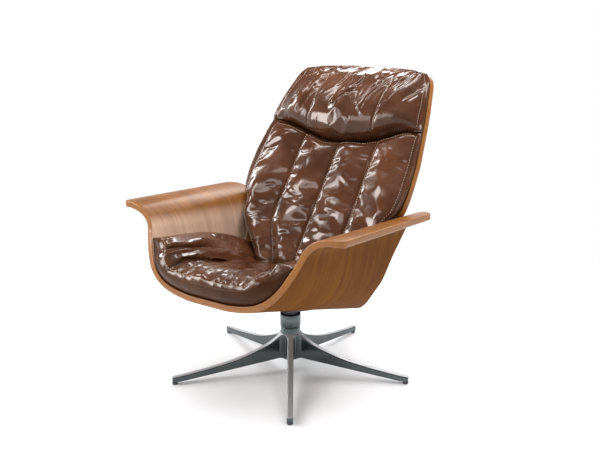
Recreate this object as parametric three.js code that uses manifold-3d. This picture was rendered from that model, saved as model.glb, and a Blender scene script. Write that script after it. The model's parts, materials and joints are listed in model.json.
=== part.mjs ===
// Swivel rocker: a moulded plywood armchair with leather cushions on a five-blade swivel base.
// Millimetres, +Z up. The sitter faces -Y and the sitter's left side is +X.
import * as THREE from 'three';
import { mergeVertices } from 'three/addons/utils/BufferGeometryUtils.js';
import Module from 'manifold-3d';

const wasm = await Module();
wasm.setup();

// Clearances shared by every pair of pieces that touch
const seat_gap = 0.3;
const cut_overrun = 6;
const weld_distance = 1e-5;

// Five-blade base
const foot_radius = 395;
const leg_count = 5;
const leg_width = 21;
const leg_tip_narrowing_share = 0.12;
const leg_end_margin = 9;
const leg_edge_bevel = 1.6;
const leg_tip_thickness = 18;
const leg_root_drop = 22;
const leg_root_underside = 48;
const hub_radius = 33;
const hub_bottom_height = 45;
const hub_top_height = 156;
const hub_edge_chamfer = 2;
const hub_bore_radius = 20;
const collar_radius = 35;
const collar_height = 44;
const collar_bore_radius = 23.4;
const collar_edge_chamfer = 2.5;
const groove_depth = 1.6;
const groove_height = 2.4;

// Floor glides
const glide_radius = 9.5;
const glide_height = 8;
const glide_edge = 1.5;
const glide_stem_radius = 4;
const glide_stem_height = 13;

// Swivel bearing and spindle
const spindle_radius = 12.5;
const spindle_shoulder_radius = 20;
const neck_radius = 25;
const bush_length = 38;
const bush_recess = 7;
const race_thickness = 3;
const ball_radius = 3;
const ball_count = 12;
const cage_thickness = 2.4;
const washer_thickness = 2.5;
const retaining_ring_thickness = 2.6;
const retaining_ring_width = 5;

// Rocker mechanism, measured square to the seat's slope from the pivot axis
const plate_gauge = 4;
const bracket_clearance = 3;
const bracket_drop = 16;
const bracket_half_width = 38;
const bracket_half_length = 78;
const seat_plate_rise = 17.3;
const seat_plate_half_width = 70;
const seat_plate_half_length = 94;
const plate_corner_radius = 10;
const ear_gap = 1.6;
const ear_half_length = 17;
const ear_eye_radius = 10.5;
const axle_radius = 5;
const axle_head_radius = 8;
const axle_head_thickness = 3;
const pivot_bush_wall = 1.1;
const pivot_bush_flange = 1;
const pivot_bush_flange_radius = 9;
const spring_mean_radius = 12;
const spring_wire_radius = 1.9;
const spring_turns = 3;
const spring_offset_x = 17.5;
const spring_seat_thickness = 1.5;
const spring_seat_margin = 1;
const spring_boss_radius = 9;
const spring_boss_height = 3.5;
const bumper_radius = 7;
const bumper_edge_margin = 1;
const bumper_spring_gap = 2;
const bumper_clearance = 0.6;
const lean_back_deg = 9;
const lean_forward_deg = 7;

// Fasteners
const bolt_radius = 4;
const bolt_head_radius = 7;
const bolt_head_height = 5;
const bolt_hole_margin = 0.35;
const plate_bolt_x = 52;
const plate_bolt_y = 84;
const tee_nut_flange_radius = 10;
const tee_nut_flange_thickness = 1.5;
const tee_nut_wall = 1.3;
const tee_nut_length = 12;
const bracket_bolt_radius = 3;
const bracket_bolt_head_radius = 5.6;
const bracket_bolt_head_height = 3.4;
const nut_plate_half_width = 16;
const nut_plate_half_length = 8;
const nut_plate_corner_radius = 3;
const nut_plate_thickness = 4;
const screw_radius = 2.2;
const screw_head_radius = 4.6;
const screw_head_height = 2.2;
const screw_bite = 13;

// Moulded arm shell
const ply_thickness = 20;
const arm_half_width = 418;
const arm_rise = 227;
const shell_front_reach = 412;
const shell_rear_reach = 213;
const arm_front_corner_radius = 20;
const arm_rear_corner_width = 90;
const arm_rear_corner_depth = 50;

// Moulded back shell, measured along its own lean from the foot of its front face
const back_ply_thickness = 18;
const back_lean_deg = 32.1;
const back_half_width = 324;
const back_curve_radius = 770;
const back_length = 804;
const back_top_arch = 19;
const back_foot_arch = 10;
const back_foot_reach = 66;
const back_foot_rise = 24;
const back_side_clearance = 3;

// Brackets between the two shells
const back_bracket_gauge = 5;
const back_bracket_width = 34;
const back_bracket_spacing = 60;
const back_bracket_leg = 74;
const back_bracket_foot = 46;
const back_pad_thickness = 4;
const back_screw_pitch = 30;
const back_screw_margin = 16;
const bracket_bolt_pitch = 18;
const bracket_bolt_inset = 14;

// Seat cushion
const seat_boxing_height = 43;
const seat_crown_height = 31;
const seat_front_overhang = 17;
const seat_boxing_setback = 9;
const seat_side_setback = 8;
const seat_edge_thickness = 6;
const seat_roll_depth = 90;
const seat_puff = 14;
const seat_puff_depth = 45;
const seat_edge_share = 0.567;
const seat_bolster_share = 0.039;
const seat_side_roll_share = 0.36;
const seat_low_fold_share = 0.357;
const seat_high_fold_share = 0.8;
const seat_fold_start_share = 0.25;
const seat_fold_end_share = 0.6;
const seat_nose_share = 0.45;
const seat_nose_end_share = 0.95;
const seat_setback_share = 0.6;
const cushion_gap = 0.5;
const cushion_parting = 1.2;

// Back and head cushions
const back_cushion_foot_gap = 19;
const back_cushion_taper_share = 0.076;
const back_cushion_depth_at_foot = 105;
const back_channel_spacing = 147;
const back_channel_puff = 17;
const back_valley_depth = 8;
const back_end_roll = 46;
const back_end_draw_share = 0.5;
const crease_height = 521;
const crease_lift = 53;
const crease_flat_share = 0.12;
const crease_full_share = 0.86;
const head_channel_spacing = 132;
const head_puff = 48;
const head_channel_puff = 11;
const head_top_overhang = 3;
const head_side_roll = 110;
const head_edge_thickness = 15;
const head_side_swell_share = 0.32;
const head_lip_share = 0.25;
const head_crown_start_share = 0.35;
const head_crown_fall_share = 0.95;
const head_close_share = 0.78;

// Counts of facets and of sampled stretches
const round_segments = 28;
const small_segments = 14;
const tiny_segments = 10;
const ball_segments = 6;
const spring_steps_per_turn = 8;
const spring_sides = 5;
const ear_segments = 8;
const corner_segments = 3;
const search_steps = 24;
const settling_steps = 6;
const shell_steps_per_row = 2;
const shell_depth_steps = 3;
const back_shell_columns = 18;
const seat_columns = 28;
const seat_rows = 12;
const back_columns = 28;
const back_rows = 13;
const head_columns = 24;
const head_rows = 9;

// Half of the arm shell's front edge, from the middle out to the armrest's tip: across, up,
// forward, back, and how far the shell falls for each unit that it runs back.
const arm_shell_shares = [
  [0.000, 0.000, 1.000, 0.635, 0.240],
  [0.143, 0.000, 1.000, 0.635, 0.240],
  [0.263, 0.016, 0.993, 0.612, 0.248],
  [0.359, 0.046, 0.988, 0.590, 0.262],
  [0.428, 0.085, 0.983, 0.566, 0.278],
  [0.493, 0.145, 0.976, 0.542, 0.290],
  [0.560, 0.242, 0.961, 0.502, 0.290],
  [0.605, 0.335, 0.942, 0.474, 0.290],
  [0.636, 0.423, 0.920, 0.488, 0.290],
  [0.663, 0.520, 0.898, 0.550, 0.285],
  [0.689, 0.617, 0.871, 0.624, 0.250],
  [0.708, 0.705, 0.850, 0.738, 0.190],
  [0.7225, 0.780, 0.8325, 0.905, 0.125],
  [0.739, 0.838, 0.823, 0.990, 0.088],
  [0.768, 0.896, 0.8155, 1.000, 0.070],
  [0.816, 0.954, 0.813, 1.000, 0.062],
  [0.873, 0.985, 0.811, 1.000, 0.057],
  [0.938, 1.000, 0.809, 1.000, 0.052],
  [1.000, 1.000, 0.808, 1.000, 0.050],
];
const tip_row = arm_shell_shares.length - 1;
const wall_top_row = tip_row - 3;
const tangent_rows = 0.02;

// Half of the back shell's outline: share of its length, share of its half width
const back_outline_shares = [
  [0.000, 0.310], [0.012, 0.525], [0.030, 0.633], [0.054, 0.716], [0.090, 0.772],
  [0.140, 0.812], [0.215, 0.857], [0.279, 0.870], [0.324, 0.920], [0.347, 0.951],
  [0.381, 0.981], [0.458, 0.997], [0.547, 0.994], [0.633, 0.969], [0.732, 0.935],
  [0.808, 0.904], [0.872, 0.870], [0.931, 0.838], [0.956, 0.815], [0.975, 0.780],
  [0.988, 0.735], [0.996, 0.675], [1.000, 0.600],
];
const back_arch_start_share = 0.9;
const back_foot_arch_end_share = 0.1;

// Half of the back cushion's seam outline: share of the shell's length, share of its half width
const back_cushion_shares = [
  [0.000, 0.310], [0.053, 0.451], [0.100, 0.540], [0.152, 0.651], [0.191, 0.750], [0.233, 0.812],
  [0.272, 0.840], [0.310, 0.883], [0.348, 0.926], [0.394, 0.941], [0.445, 0.948], [0.485, 0.944],
  [0.531, 0.941], [0.570, 0.935], [0.645, 0.917], [0.708, 0.895], [0.764, 0.883], [0.825, 0.864],
  [0.887, 0.827], [0.932, 0.793], [0.962, 0.765], [0.985, 0.735], [1.000, 0.600],
];

// Top edge of a leg: share of its reach out of the hub, share of its rise over the tip
const leg_top_shares = [
  [0.000, 1.000], [0.033, 0.900], [0.075, 0.790], [0.123, 0.690], [0.238, 0.520],
  [0.330, 0.405], [0.427, 0.306], [0.614, 0.176], [0.781, 0.085], [0.900, 0.030], [1.000, 0.000],
];

// Heights that follow from the base and the mechanism
const fall_at_middle = arm_shell_shares[0][4];
const seat_slope = Math.atan(fall_at_middle);
const collar_bottom_height = hub_top_height + seat_gap;
const collar_top_height = collar_bottom_height + collar_height;
const bracket_underside_height = collar_top_height + collar_radius * fall_at_middle + bracket_clearance;
const pivot_height = bracket_underside_height + bracket_drop / Math.cos(seat_slope);
const shell_underside_rise = seat_plate_rise + seat_gap;
const shell_underside_height = pivot_height + shell_underside_rise / Math.cos(seat_slope);
const shell_front_height = shell_underside_height + fall_at_middle * shell_front_reach;
const shell_floor_rise = shell_underside_rise + ply_thickness * Math.cos(seat_slope);
const back_lean = THREE.MathUtils.degToRad(back_lean_deg);
const back_foot_height = shell_underside_height + ply_thickness
  - fall_at_middle * back_foot_reach + back_foot_rise;

// Finishes
const walnut = { color: 0x8a5a34, roughness: 0.42, metalness: 0 };
const leather = { color: 0x5a3524, roughness: 0.3, metalness: 0 };
const polished = { color: 0xb4b9ba, roughness: 0.18, metalness: 1 };
const black_steel = { color: 0x16171a, roughness: 0.5, metalness: 0.7 };
const zinc = { color: 0xa4a7a8, roughness: 0.4, metalness: 1 };
const rubber = { color: 0x1a1a1a, roughness: 0.9, metalness: 0 };
const nylon = { color: 0x26272a, roughness: 0.55, metalness: 0 };

// A named mesh of one finish
function piece(name, geometry, finish) {
  const mesh = new THREE.Mesh(geometry, new THREE.MeshStandardMaterial(finish));
  mesh.name = name;
  return mesh;
}

// Keeps the places of a geometry's corners only, each corner once
function bare(geometry) {
  const copy = geometry.clone();
  for (const attribute of ['normal', 'uv']) copy.deleteAttribute(attribute);
  return mergeVertices(copy, weld_distance);
}

// A closed geometry as a solid that can be cut or joined
function solidOf(geometry) {
  const merged = bare(geometry);
  const vertProperties = new Float32Array(merged.attributes.position.array);
  const triVerts = new Uint32Array(merged.index.array);
  return new wasm.Manifold(new wasm.Mesh({ numProp: 3, vertProperties, triVerts }));
}

// A cut or joined solid as a geometry
function geometryOf(solid) {
  const mesh = solid.getMesh();
  const geometry = new THREE.BufferGeometry();
  geometry.setAttribute('position', new THREE.BufferAttribute(mesh.vertProperties, 3));
  geometry.setIndex(new THREE.BufferAttribute(mesh.triVerts, 1));
  return geometry;
}

// Cuts a list of geometries out of one geometry
function cutAway(geometry, tools) {
  let body = solidOf(geometry);
  for (const tool of tools) body = body.subtract(solidOf(tool));
  return geometryOf(body);
}

// A round solid about the Z axis, from pairs of radius and height
function turned(points, segments = round_segments) {
  return new THREE.LatheGeometry(points.map(([r, z]) => new THREE.Vector2(r, z)), segments)
    .rotateX(Math.PI / 2);
}

// A plain rod about the Z axis
function rod(radius, bottom, top, segments = small_segments) {
  return turned([[0, bottom], [radius, bottom], [radius, top], [0, top]], segments);
}

// A ring about the Z axis
function ring(inner, outer, bottom, top, segments = round_segments) {
  const profile = [[inner, bottom], [outer, bottom], [outer, top], [inner, top], [inner, bottom]];
  return turned(profile, segments);
}

// A flat shape in the YZ plane, as thick along X as asked, centred on the plane X = middle
function slabAcross(points, thickness, middle) {
  const shape = new THREE.Shape(points.map(([y, z]) => new THREE.Vector2(y, z)));
  return new THREE.ExtrudeGeometry(shape, { depth: thickness, bevelEnabled: false })
    .translate(0, 0, -thickness / 2)
    .rotateX(Math.PI / 2)
    .rotateZ(Math.PI / 2)
    .translate(middle, 0, 0);
}

// A flat plate with round corners, lying square to Z
function roundedPlate(half_width, half_length, corner, bottom, top) {
  const shape = new THREE.Shape();
  shape.moveTo(-half_width + corner, -half_length);
  shape.lineTo(half_width - corner, -half_length);
  shape.absarc(half_width - corner, -half_length + corner, corner, -Math.PI / 2, 0);
  shape.absarc(half_width - corner, half_length - corner, corner, 0, Math.PI / 2);
  shape.absarc(-half_width + corner, half_length - corner, corner, Math.PI / 2, Math.PI);
  shape.absarc(-half_width + corner, -half_length + corner, corner, Math.PI, 1.5 * Math.PI);
  return new THREE.ExtrudeGeometry(shape, {
    depth: top - bottom,
    bevelEnabled: false,
    curveSegments: corner_segments,
  }).translate(0, 0, bottom);
}

// A closed sheet between two grids of points, joined round their edges
function closedSheet(columns, rows, near, far) {
  const points = [];
  for (const side of [near, far]) {
    for (let row = 0; row <= rows; row += 1) {
      for (let column = 0; column <= columns; column += 1) {
        points.push(side(column / columns, row / rows));
      }
    }
  }
  const across = columns + 1;
  const layer = across * (rows + 1);
  const faces = [];
  const quad = (a, b, c, d) => faces.push(a, b, c, a, c, d);
  for (let row = 0; row < rows; row += 1) {
    for (let column = 0; column < columns; column += 1) {
      const corner = row * across + column;
      quad(corner, corner + 1, corner + across + 1, corner + across);
      quad(layer + corner, layer + corner + across, layer + corner + across + 1, layer + corner + 1);
    }
  }
  const rim = [];
  for (let column = 0; column < columns; column += 1) rim.push(column);
  for (let row = 0; row < rows; row += 1) rim.push(row * across + columns);
  for (let column = columns; column > 0; column -= 1) rim.push(rows * across + column);
  for (let row = rows; row > 0; row -= 1) rim.push(row * across);
  rim.forEach((here, index) => {
    const next = rim[(index + 1) % rim.length];
    quad(next, here, layer + here, layer + next);
  });
  return outward(points, faces);
}

// Turns every face out when the faces given point in
function outward(points, faces) {
  let volume = 0;
  const product = new THREE.Vector3();
  for (let face = 0; face < faces.length; face += 3) {
    product.crossVectors(points[faces[face + 1]], points[faces[face + 2]]);
    volume += points[faces[face]].dot(product);
  }
  const ordered = volume < 0 ? faces.slice().reverse() : faces;
  const geometry = new THREE.BufferGeometry().setFromPoints(points);
  geometry.setIndex(ordered);
  return geometry;
}

// Slope of a smooth curve at a row of a table, with no overshoot past the rows beside it
function rowSlope(before, value, after) {
  const arriving = value - before;
  const leaving = after - value;
  return arriving * leaving > 0 ? 2 * arriving * leaving / (arriving + leaving) : 0;
}

// Reads a table of rows at a place between them, along a smooth curve through all rows
function readRows(rows, place) {
  const last = rows.length - 1;
  const clamped = Math.min(Math.max(place, 0), last);
  const here = Math.min(Math.floor(clamped), last - 1);
  const t = clamped - here;
  return rows[here].map((value, column) => {
    const next = rows[here + 1][column];
    const step = next - value;
    const leave = here > 0 ? rowSlope(rows[here - 1][column], value, next) : step;
    const arrive = here + 2 <= last ? rowSlope(value, next, rows[here + 2][column]) : step;
    const bend = leave + arrive - 2 * step;
    return value + t * (leave + t * (3 * step - 2 * leave - arrive + t * bend));
  });
}

// Reads a two-column table at a value of its first column, by straight lines
function readOutline(rows, value) {
  const next = rows.findIndex((row) => row[0] >= value);
  if (next === -1) return rows[rows.length - 1][1];
  if (next === 0) return rows[0][1];
  const [from, low] = rows[next - 1];
  const [to, high] = rows[next];
  return low + (high - low) * (value - from) / (to - from);
}

const smoothStep = (value, from, to) => THREE.MathUtils.smoothstep(value, from, to);

// How far a rounded corner draws an edge back at a distance from the side
function cornerDraw(distance, width, depth) {
  const inside = THREE.MathUtils.clamp(1 - distance / width, 0, 1);
  return depth * (1 - Math.sqrt(1 - inside * inside));
}

// Half section of the arm shell at a place along its table
function armRow(place) {
  const [across, up, forward, back, fall] = readRows(arm_shell_shares, Math.abs(place));
  const x = across * arm_half_width;
  const to_tip = arm_half_width - x;
  const ruled_front = -forward * shell_front_reach;
  return {
    x: Math.sign(place) * x,
    z: shell_front_height + up * arm_rise,
    front: ruled_front + cornerDraw(to_tip, arm_front_corner_radius, arm_front_corner_radius),
    rear: back * shell_rear_reach - cornerDraw(to_tip, arm_rear_corner_width, arm_rear_corner_depth),
    ruled_front,
    fall,
  };
}

// A point on the arm shell: on its outer face, or lifted off that face towards the sitter
function armPoint(place, y, lift) {
  const height = (row) => row.z - row.fall * (y - row.ruled_front);
  const row = armRow(place);
  const before = armRow(place - tangent_rows);
  const after = armRow(place + tangent_rows);
  const run = after.x - before.x;
  const rise = height(after) - height(before);
  const length = Math.hypot(run, rise);
  return new THREE.Vector3(row.x - lift * rise / length, y, height(row) + lift * run / length);
}

// Inner half width of the arm shell at a depth and a height
function innerHalfWidth(y, z) {
  let low = 0;
  let high = wall_top_row;
  if (armPoint(high, y, ply_thickness).z < z) return Infinity;
  for (let step = 0; step < search_steps; step += 1) {
    const middle = (low + high) / 2;
    if (armPoint(middle, y, ply_thickness).z < z) low = middle;
    else high = middle;
  }
  return armPoint(low, y, ply_thickness).x;
}

// Frames: the seat's slope at the pivot, and the back's lean at the foot of its shell
const slope_frame = new THREE.Matrix4().makeRotationX(-seat_slope).setPosition(0, 0, pivot_height);
const back_frame = new THREE.Matrix4().makeRotationX(-back_lean)
  .setPosition(0, back_foot_reach, back_foot_height);

// Depth of the back shell's front face at a distance from its middle line
const backFace = (u) => -u * u / (2 * back_curve_radius);

// Half width of the back shell at a height, held clear of the arm shell's walls
function backHalfWidth(along) {
  const wanted = readOutline(back_outline_shares, along / back_length) * back_half_width;
  return clearOfWalls(wanted, along, backFace(wanted), back_ply_thickness, back_side_clearance);
}

// Limits a half width so that neither edge of a thickness reaches the arm shell's walls
function clearOfWalls(wanted, along, depth, thickness, clearance) {
  let half_width = wanted;
  const wrap = Math.asin(wanted / back_curve_radius);
  for (const rear of [0, thickness]) {
    const corner = new THREE.Vector3(0, depth + rear * Math.cos(wrap), along).applyMatrix4(back_frame);
    const room = innerHalfWidth(corner.y, corner.z) - clearance - rear * Math.sin(wrap);
    half_width = Math.min(half_width, room);
  }
  return half_width;
}

// Base casting: a hub with five upright blades, bored for the bushes and the glide stems
function baseCasting() {
  const chamfer = hub_edge_chamfer;
  let casting = solidOf(turned([
    [0, hub_bottom_height],
    [hub_radius - chamfer, hub_bottom_height],
    [hub_radius, hub_bottom_height + chamfer],
    [hub_radius, hub_top_height - chamfer],
    [hub_radius - chamfer, hub_top_height],
    [0, hub_top_height],
  ]));
  for (let leg = 0; leg < leg_count; leg += 1) {
    casting = casting.add(solidOf(legBlade().rotateZ(legTurn(leg))));
  }
  const bore = rod(hub_bore_radius, hub_bottom_height - cut_overrun, hub_top_height + cut_overrun,
    round_segments);
  casting = casting.subtract(solidOf(bore));
  for (let leg = 0; leg < leg_count; leg += 1) {
    const top = glide_height + glide_stem_height + 2 * seat_gap;
    const hole = rod(glide_stem_radius + seat_gap, glide_height - cut_overrun, top, tiny_segments)
      .translate(foot_radius, 0, 0)
      .rotateZ(legTurn(leg));
    casting = casting.subtract(solidOf(hole));
  }
  return piece('base_casting', geometryOf(casting), polished);
}

// One leg points straight back and the others stand evenly round the hub
const legTurn = (leg) => Math.PI / 2 + leg * 2 * Math.PI / leg_count;

// One blade along +X, its top edge swept down from the hub and its tip flat over the glide
function legBlade() {
  const leg_root_height = hub_top_height - leg_root_drop;
  const underside = glide_height + seat_gap;
  const tip_top = underside + leg_tip_thickness;
  const start = hub_bore_radius;
  const end = foot_radius + leg_end_margin;
  const reach = end - hub_radius;
  const top = leg_top_shares.map(([out, up]) => new THREE.Vector2(
    hub_radius + out * reach,
    tip_top + up * (leg_root_height - tip_top),
  ));
  const outline = [
    new THREE.Vector2(start, leg_root_height),
    ...top,
    new THREE.Vector2(end, underside),
    new THREE.Vector2(foot_radius - glide_radius - leg_end_margin, underside),
    new THREE.Vector2(start, leg_root_underside),
  ];
  const bevel = leg_edge_bevel;
  const blade = new THREE.ExtrudeGeometry(new THREE.Shape(outline), {
    depth: leg_width - 2 * bevel,
    bevelThickness: bevel,
    bevelSize: bevel,
    bevelOffset: -bevel,
    bevelSegments: 1,
  }).translate(0, 0, bevel - leg_width / 2).rotateX(Math.PI / 2);
  const places = blade.attributes.position;
  for (let corner = 0; corner < places.count; corner += 1) {
    const along = THREE.MathUtils.clamp((places.getX(corner) - hub_radius) / reach, 0, 1);
    places.setY(corner, places.getY(corner) * (1 - leg_tip_narrowing_share * along));
  }
  return blade;
}

// Nylon glides, each with a stem pushed up into a leg's tip
function glides() {
  const list = [];
  for (let leg = 0; leg < leg_count; leg += 1) {
    const shape = turned([
      [0, 0],
      [glide_radius - glide_edge, 0],
      [glide_radius, glide_edge],
      [glide_radius, glide_height],
      [glide_stem_radius, glide_height],
      [glide_stem_radius, glide_height + glide_stem_height],
      [0, glide_height + glide_stem_height],
    ], small_segments);
    const glide = piece(`glide_${leg + 1}`, shape, nylon);
    const turn = legTurn(leg);
    glide.position.set(foot_radius * Math.cos(turn), foot_radius * Math.sin(turn), 0);
    list.push(glide);
  }
  return list;
}

// Polished collar over the bearing, with a groove turned round its foot
function hubCollar() {
  const bottom = collar_bottom_height;
  const top = collar_top_height;
  const chamfer = collar_edge_chamfer;
  return piece('hub_collar', turned([
    [collar_bore_radius, bottom],
    [collar_radius - groove_depth, bottom],
    [collar_radius - groove_depth, bottom + groove_height],
    [collar_radius, bottom + groove_height + groove_depth],
    [collar_radius, top - chamfer],
    [collar_radius - chamfer, top],
    [collar_bore_radius, top],
    [collar_bore_radius, bottom],
  ]), polished);
}

// Bushes that guide the spindle, and the thrust bearing that carries it
function bearingPieces() {
  const bush_outer = hub_bore_radius - seat_gap;
  const bush_inner = spindle_radius + seat_gap;
  const lower_bush_bottom = hub_bottom_height + bush_recess;
  const upper_bush_bottom = hub_top_height - bush_length;
  const lower_race_bottom = hub_top_height + seat_gap;
  const race_outer = collar_bore_radius - seat_gap;
  const ball_middle = lower_race_bottom + race_thickness + seat_gap + ball_radius;
  const upper_race_bottom = ball_middle + ball_radius + seat_gap;
  const ball_track = (race_outer + bush_inner) / 2;
  const still = [
    piece('lower_bush',
      ring(bush_inner, bush_outer, lower_bush_bottom, lower_bush_bottom + bush_length), nylon),
    piece('upper_bush', ring(bush_inner, bush_outer, upper_bush_bottom, hub_top_height), nylon),
    piece('lower_race',
      ring(bush_inner, race_outer, lower_race_bottom, lower_race_bottom + race_thickness), zinc),
  ];
  let cage = solidOf(ring(bush_inner, race_outer - seat_gap, ball_middle - cage_thickness / 2,
    ball_middle + cage_thickness / 2));
  for (let ball = 0; ball < ball_count; ball += 1) {
    const turn = ball * 2 * Math.PI / ball_count;
    const sphere = new THREE.SphereGeometry(ball_radius, ball_segments, ball_segments)
      .translate(ball_track * Math.cos(turn), ball_track * Math.sin(turn), ball_middle);
    cage = cage.add(solidOf(sphere));
  }
  const turning = [
    piece('ball_cage', geometryOf(cage), zinc),
    piece('upper_race',
      ring(bush_inner, race_outer - seat_gap, upper_race_bottom, upper_race_bottom + race_thickness), zinc),
  ];
  return { still, turning, shoulder: upper_race_bottom + race_thickness + seat_gap };
}

// Spindle: a shaft in the hub, a shoulder on the bearing, and a black neck under the bracket
function spindlePieces(shoulder_height) {
  const neck_bottom = collar_top_height + seat_gap;
  const neck_top = bracket_underside_height + neck_radius;
  const shaft_bottom = hub_bottom_height + seat_gap;
  const blank = turned([
    [0, shaft_bottom],
    [spindle_radius, shaft_bottom],
    [spindle_radius, shoulder_height],
    [spindle_shoulder_radius, shoulder_height],
    [spindle_shoulder_radius, neck_bottom],
    [neck_radius, neck_bottom],
    [neck_radius, neck_top],
    [0, neck_top],
  ]);
  const above = roundedPlate(2 * neck_radius, 2 * neck_radius, plate_corner_radius,
    -bracket_drop - seat_gap, 2 * neck_radius).applyMatrix4(slope_frame);
  const bush_bottom = hub_bottom_height + bush_recess;
  const washer_bottom = bush_bottom - seat_gap - washer_thickness;
  const ring_top = washer_bottom - seat_gap;
  const inner = spindle_radius + seat_gap;
  return [
    piece('swivel_spindle', cutAway(blank, [above]), black_steel),
    piece('spindle_washer',
      ring(inner, hub_bore_radius - 2 * seat_gap, washer_bottom, washer_bottom + washer_thickness), zinc),
    piece('retaining_ring',
      ring(inner, inner + retaining_ring_width, ring_top - retaining_ring_thickness, ring_top), zinc),
  ];
}

// Outline of an ear: a foot on its plate, drawn up or down to a round eye about the pivot
function earOutline(foot_level) {
  const points = [];
  const turn = Math.sign(foot_level);
  for (let step = 0; step <= ear_segments; step += 1) {
    const angle = Math.PI * step / ear_segments;
    points.push([ear_eye_radius * Math.cos(angle), -turn * ear_eye_radius * Math.sin(angle)]);
  }
  points.push([-ear_half_length, foot_level], [ear_half_length, foot_level]);
  return points;
}

const bracket_floor = -bracket_drop + plate_gauge;
const seat_plate_underside = seat_plate_rise - plate_gauge;
const outer_ear_middle = bracket_half_width - plate_gauge / 2;
const inner_ear_middle = outer_ear_middle - plate_gauge - ear_gap;

// A rod along X, centred on the pivot axis
const crossRod = (radius, from, to, segments) => rod(radius, from, to, segments).rotateY(Math.PI / 2);

// Rocker bracket: a channel on the spindle's neck with two ears for the axle
function rockerBracket() {
  let bracket = solidOf(roundedPlate(bracket_half_width, bracket_half_length, plate_corner_radius,
    -bracket_drop, bracket_floor));
  for (const side of [-1, 1]) {
    const ear = slabAcross(earOutline(-bracket_drop), plate_gauge, side * outer_ear_middle);
    bracket = bracket.add(solidOf(ear));
  }
  const reach = bracket_half_width + cut_overrun;
  const bore = crossRod(axle_radius + seat_gap, -reach, reach, small_segments);
  return piece('rocker_bracket', geometryOf(bracket.subtract(solidOf(bore))), black_steel);
}

// Seat plate: bolted under the arm shell, with two ears inside those of the bracket
function seatPlate() {
  let plate = solidOf(roundedPlate(seat_plate_half_width, seat_plate_half_length, plate_corner_radius,
    seat_plate_underside, seat_plate_rise));
  for (const side of [-1, 1]) {
    const ear = slabAcross(earOutline(seat_plate_rise), plate_gauge, side * inner_ear_middle);
    plate = plate.add(solidOf(ear));
  }
  const reach = inner_ear_middle + cut_overrun;
  const bore = crossRod(axle_radius + 2 * seat_gap + pivot_bush_wall, -reach, reach, small_segments);
  plate = plate.subtract(solidOf(bore));
  for (const [x, y] of plateBoltPlaces()) {
    const hole = rod(bolt_radius + bolt_hole_margin, seat_plate_underside - cut_overrun,
      seat_plate_rise + cut_overrun, tiny_segments).translate(x, y, 0);
    plate = plate.subtract(solidOf(hole));
  }
  return piece('seat_plate', geometryOf(plate), black_steel);
}

// Pivot axle with a head at one end, the clip at its other end, and the flanged bushes
function pivotPieces() {
  const head_face = bracket_half_width + seat_gap;
  const axle_end = head_face + 2 * axle_head_thickness;
  const axle = turned([
    [0, -head_face - axle_head_thickness],
    [axle_head_radius, -head_face - axle_head_thickness],
    [axle_head_radius, -head_face],
    [axle_radius, -head_face],
    [axle_radius, axle_end],
    [0, axle_end],
  ], small_segments).rotateY(Math.PI / 2);
  const clip = ring(axle_radius + seat_gap, axle_head_radius, head_face,
    head_face + axle_head_thickness, small_segments).rotateY(Math.PI / 2);
  const bushes = [-1, 1].map((side) => {
    const inner_end = inner_ear_middle - plate_gauge / 2;
    const outer_end = inner_ear_middle + plate_gauge / 2 + seat_gap;
    const inner = axle_radius + seat_gap;
    const outer = inner + pivot_bush_wall;
    const shape = turned([
      [inner, inner_end],
      [outer, inner_end],
      [outer, outer_end],
      [pivot_bush_flange_radius, outer_end],
      [pivot_bush_flange_radius, outer_end + pivot_bush_flange],
      [inner, outer_end + pivot_bush_flange],
      [inner, inner_end],
    ], small_segments).rotateY(side * Math.PI / 2);
    return piece(side < 0 ? 'pivot_bush_right' : 'pivot_bush_left', shape, nylon);
  });
  return { turning: [piece('pivot_axle', axle, zinc), piece('axle_clip', clip, zinc)], bushes };
}

// Least gap between points of a coil's tube that stand half a turn or more apart
function leastTurnGap(points) {
  const half_turn = spring_steps_per_turn / 2 * spring_sides;
  let least = Infinity;
  points.forEach((point, index) => {
    for (const other of points.slice(index + half_turn)) least = Math.min(least, point.distanceTo(other));
  });
  return least;
}

// A closed coil spring along Z, its tube stepped round the helix
function coilSpring(bottom, top) {
  const steps = spring_turns * spring_steps_per_turn;
  const low = bottom + spring_wire_radius;
  const climb = top - bottom - 2 * spring_wire_radius;
  const points = [];
  for (let step = 0; step <= steps; step += 1) {
    const turn = 2 * Math.PI * step / spring_steps_per_turn;
    const tilt = Math.atan(climb / (2 * Math.PI * spring_mean_radius * spring_turns));
    const out = new THREE.Vector3(Math.cos(turn), Math.sin(turn), 0);
    const up = new THREE.Vector3(Math.sin(turn) * Math.sin(tilt), -Math.cos(turn) * Math.sin(tilt),
      Math.cos(tilt));
    const middle = out.clone().multiplyScalar(spring_mean_radius);
    middle.z = low + climb * step / steps;
    for (let side = 0; side < spring_sides; side += 1) {
      const angle = 2 * Math.PI * side / spring_sides;
      points.push(middle.clone()
        .addScaledVector(out, spring_wire_radius * Math.cos(angle))
        .addScaledVector(up, spring_wire_radius * Math.sin(angle)));
    }
  }
  const faces = [];
  for (let step = 0; step < steps; step += 1) {
    for (let side = 0; side < spring_sides; side += 1) {
      const here = step * spring_sides + side;
      const beside = step * spring_sides + (side + 1) % spring_sides;
      faces.push(here, here + spring_sides, beside + spring_sides, here, beside + spring_sides, beside);
    }
  }
  const end = steps * spring_sides;
  for (let side = 1; side < spring_sides - 1; side += 1) {
    faces.push(0, side, side + 1, end, end + side + 1, end + side);
  }
  console.log(`least gap between spring turns: ${leastTurnGap(points).toFixed(2)} mm`);
  return outward(points, faces);
}

const bumper_offset = bracket_half_length - bumper_edge_margin - bumper_radius;
const spring_seat_reach = spring_mean_radius + spring_wire_radius + spring_seat_margin;
const spring_offset_y = bumper_offset - bumper_radius - bumper_spring_gap - spring_seat_reach;

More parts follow.
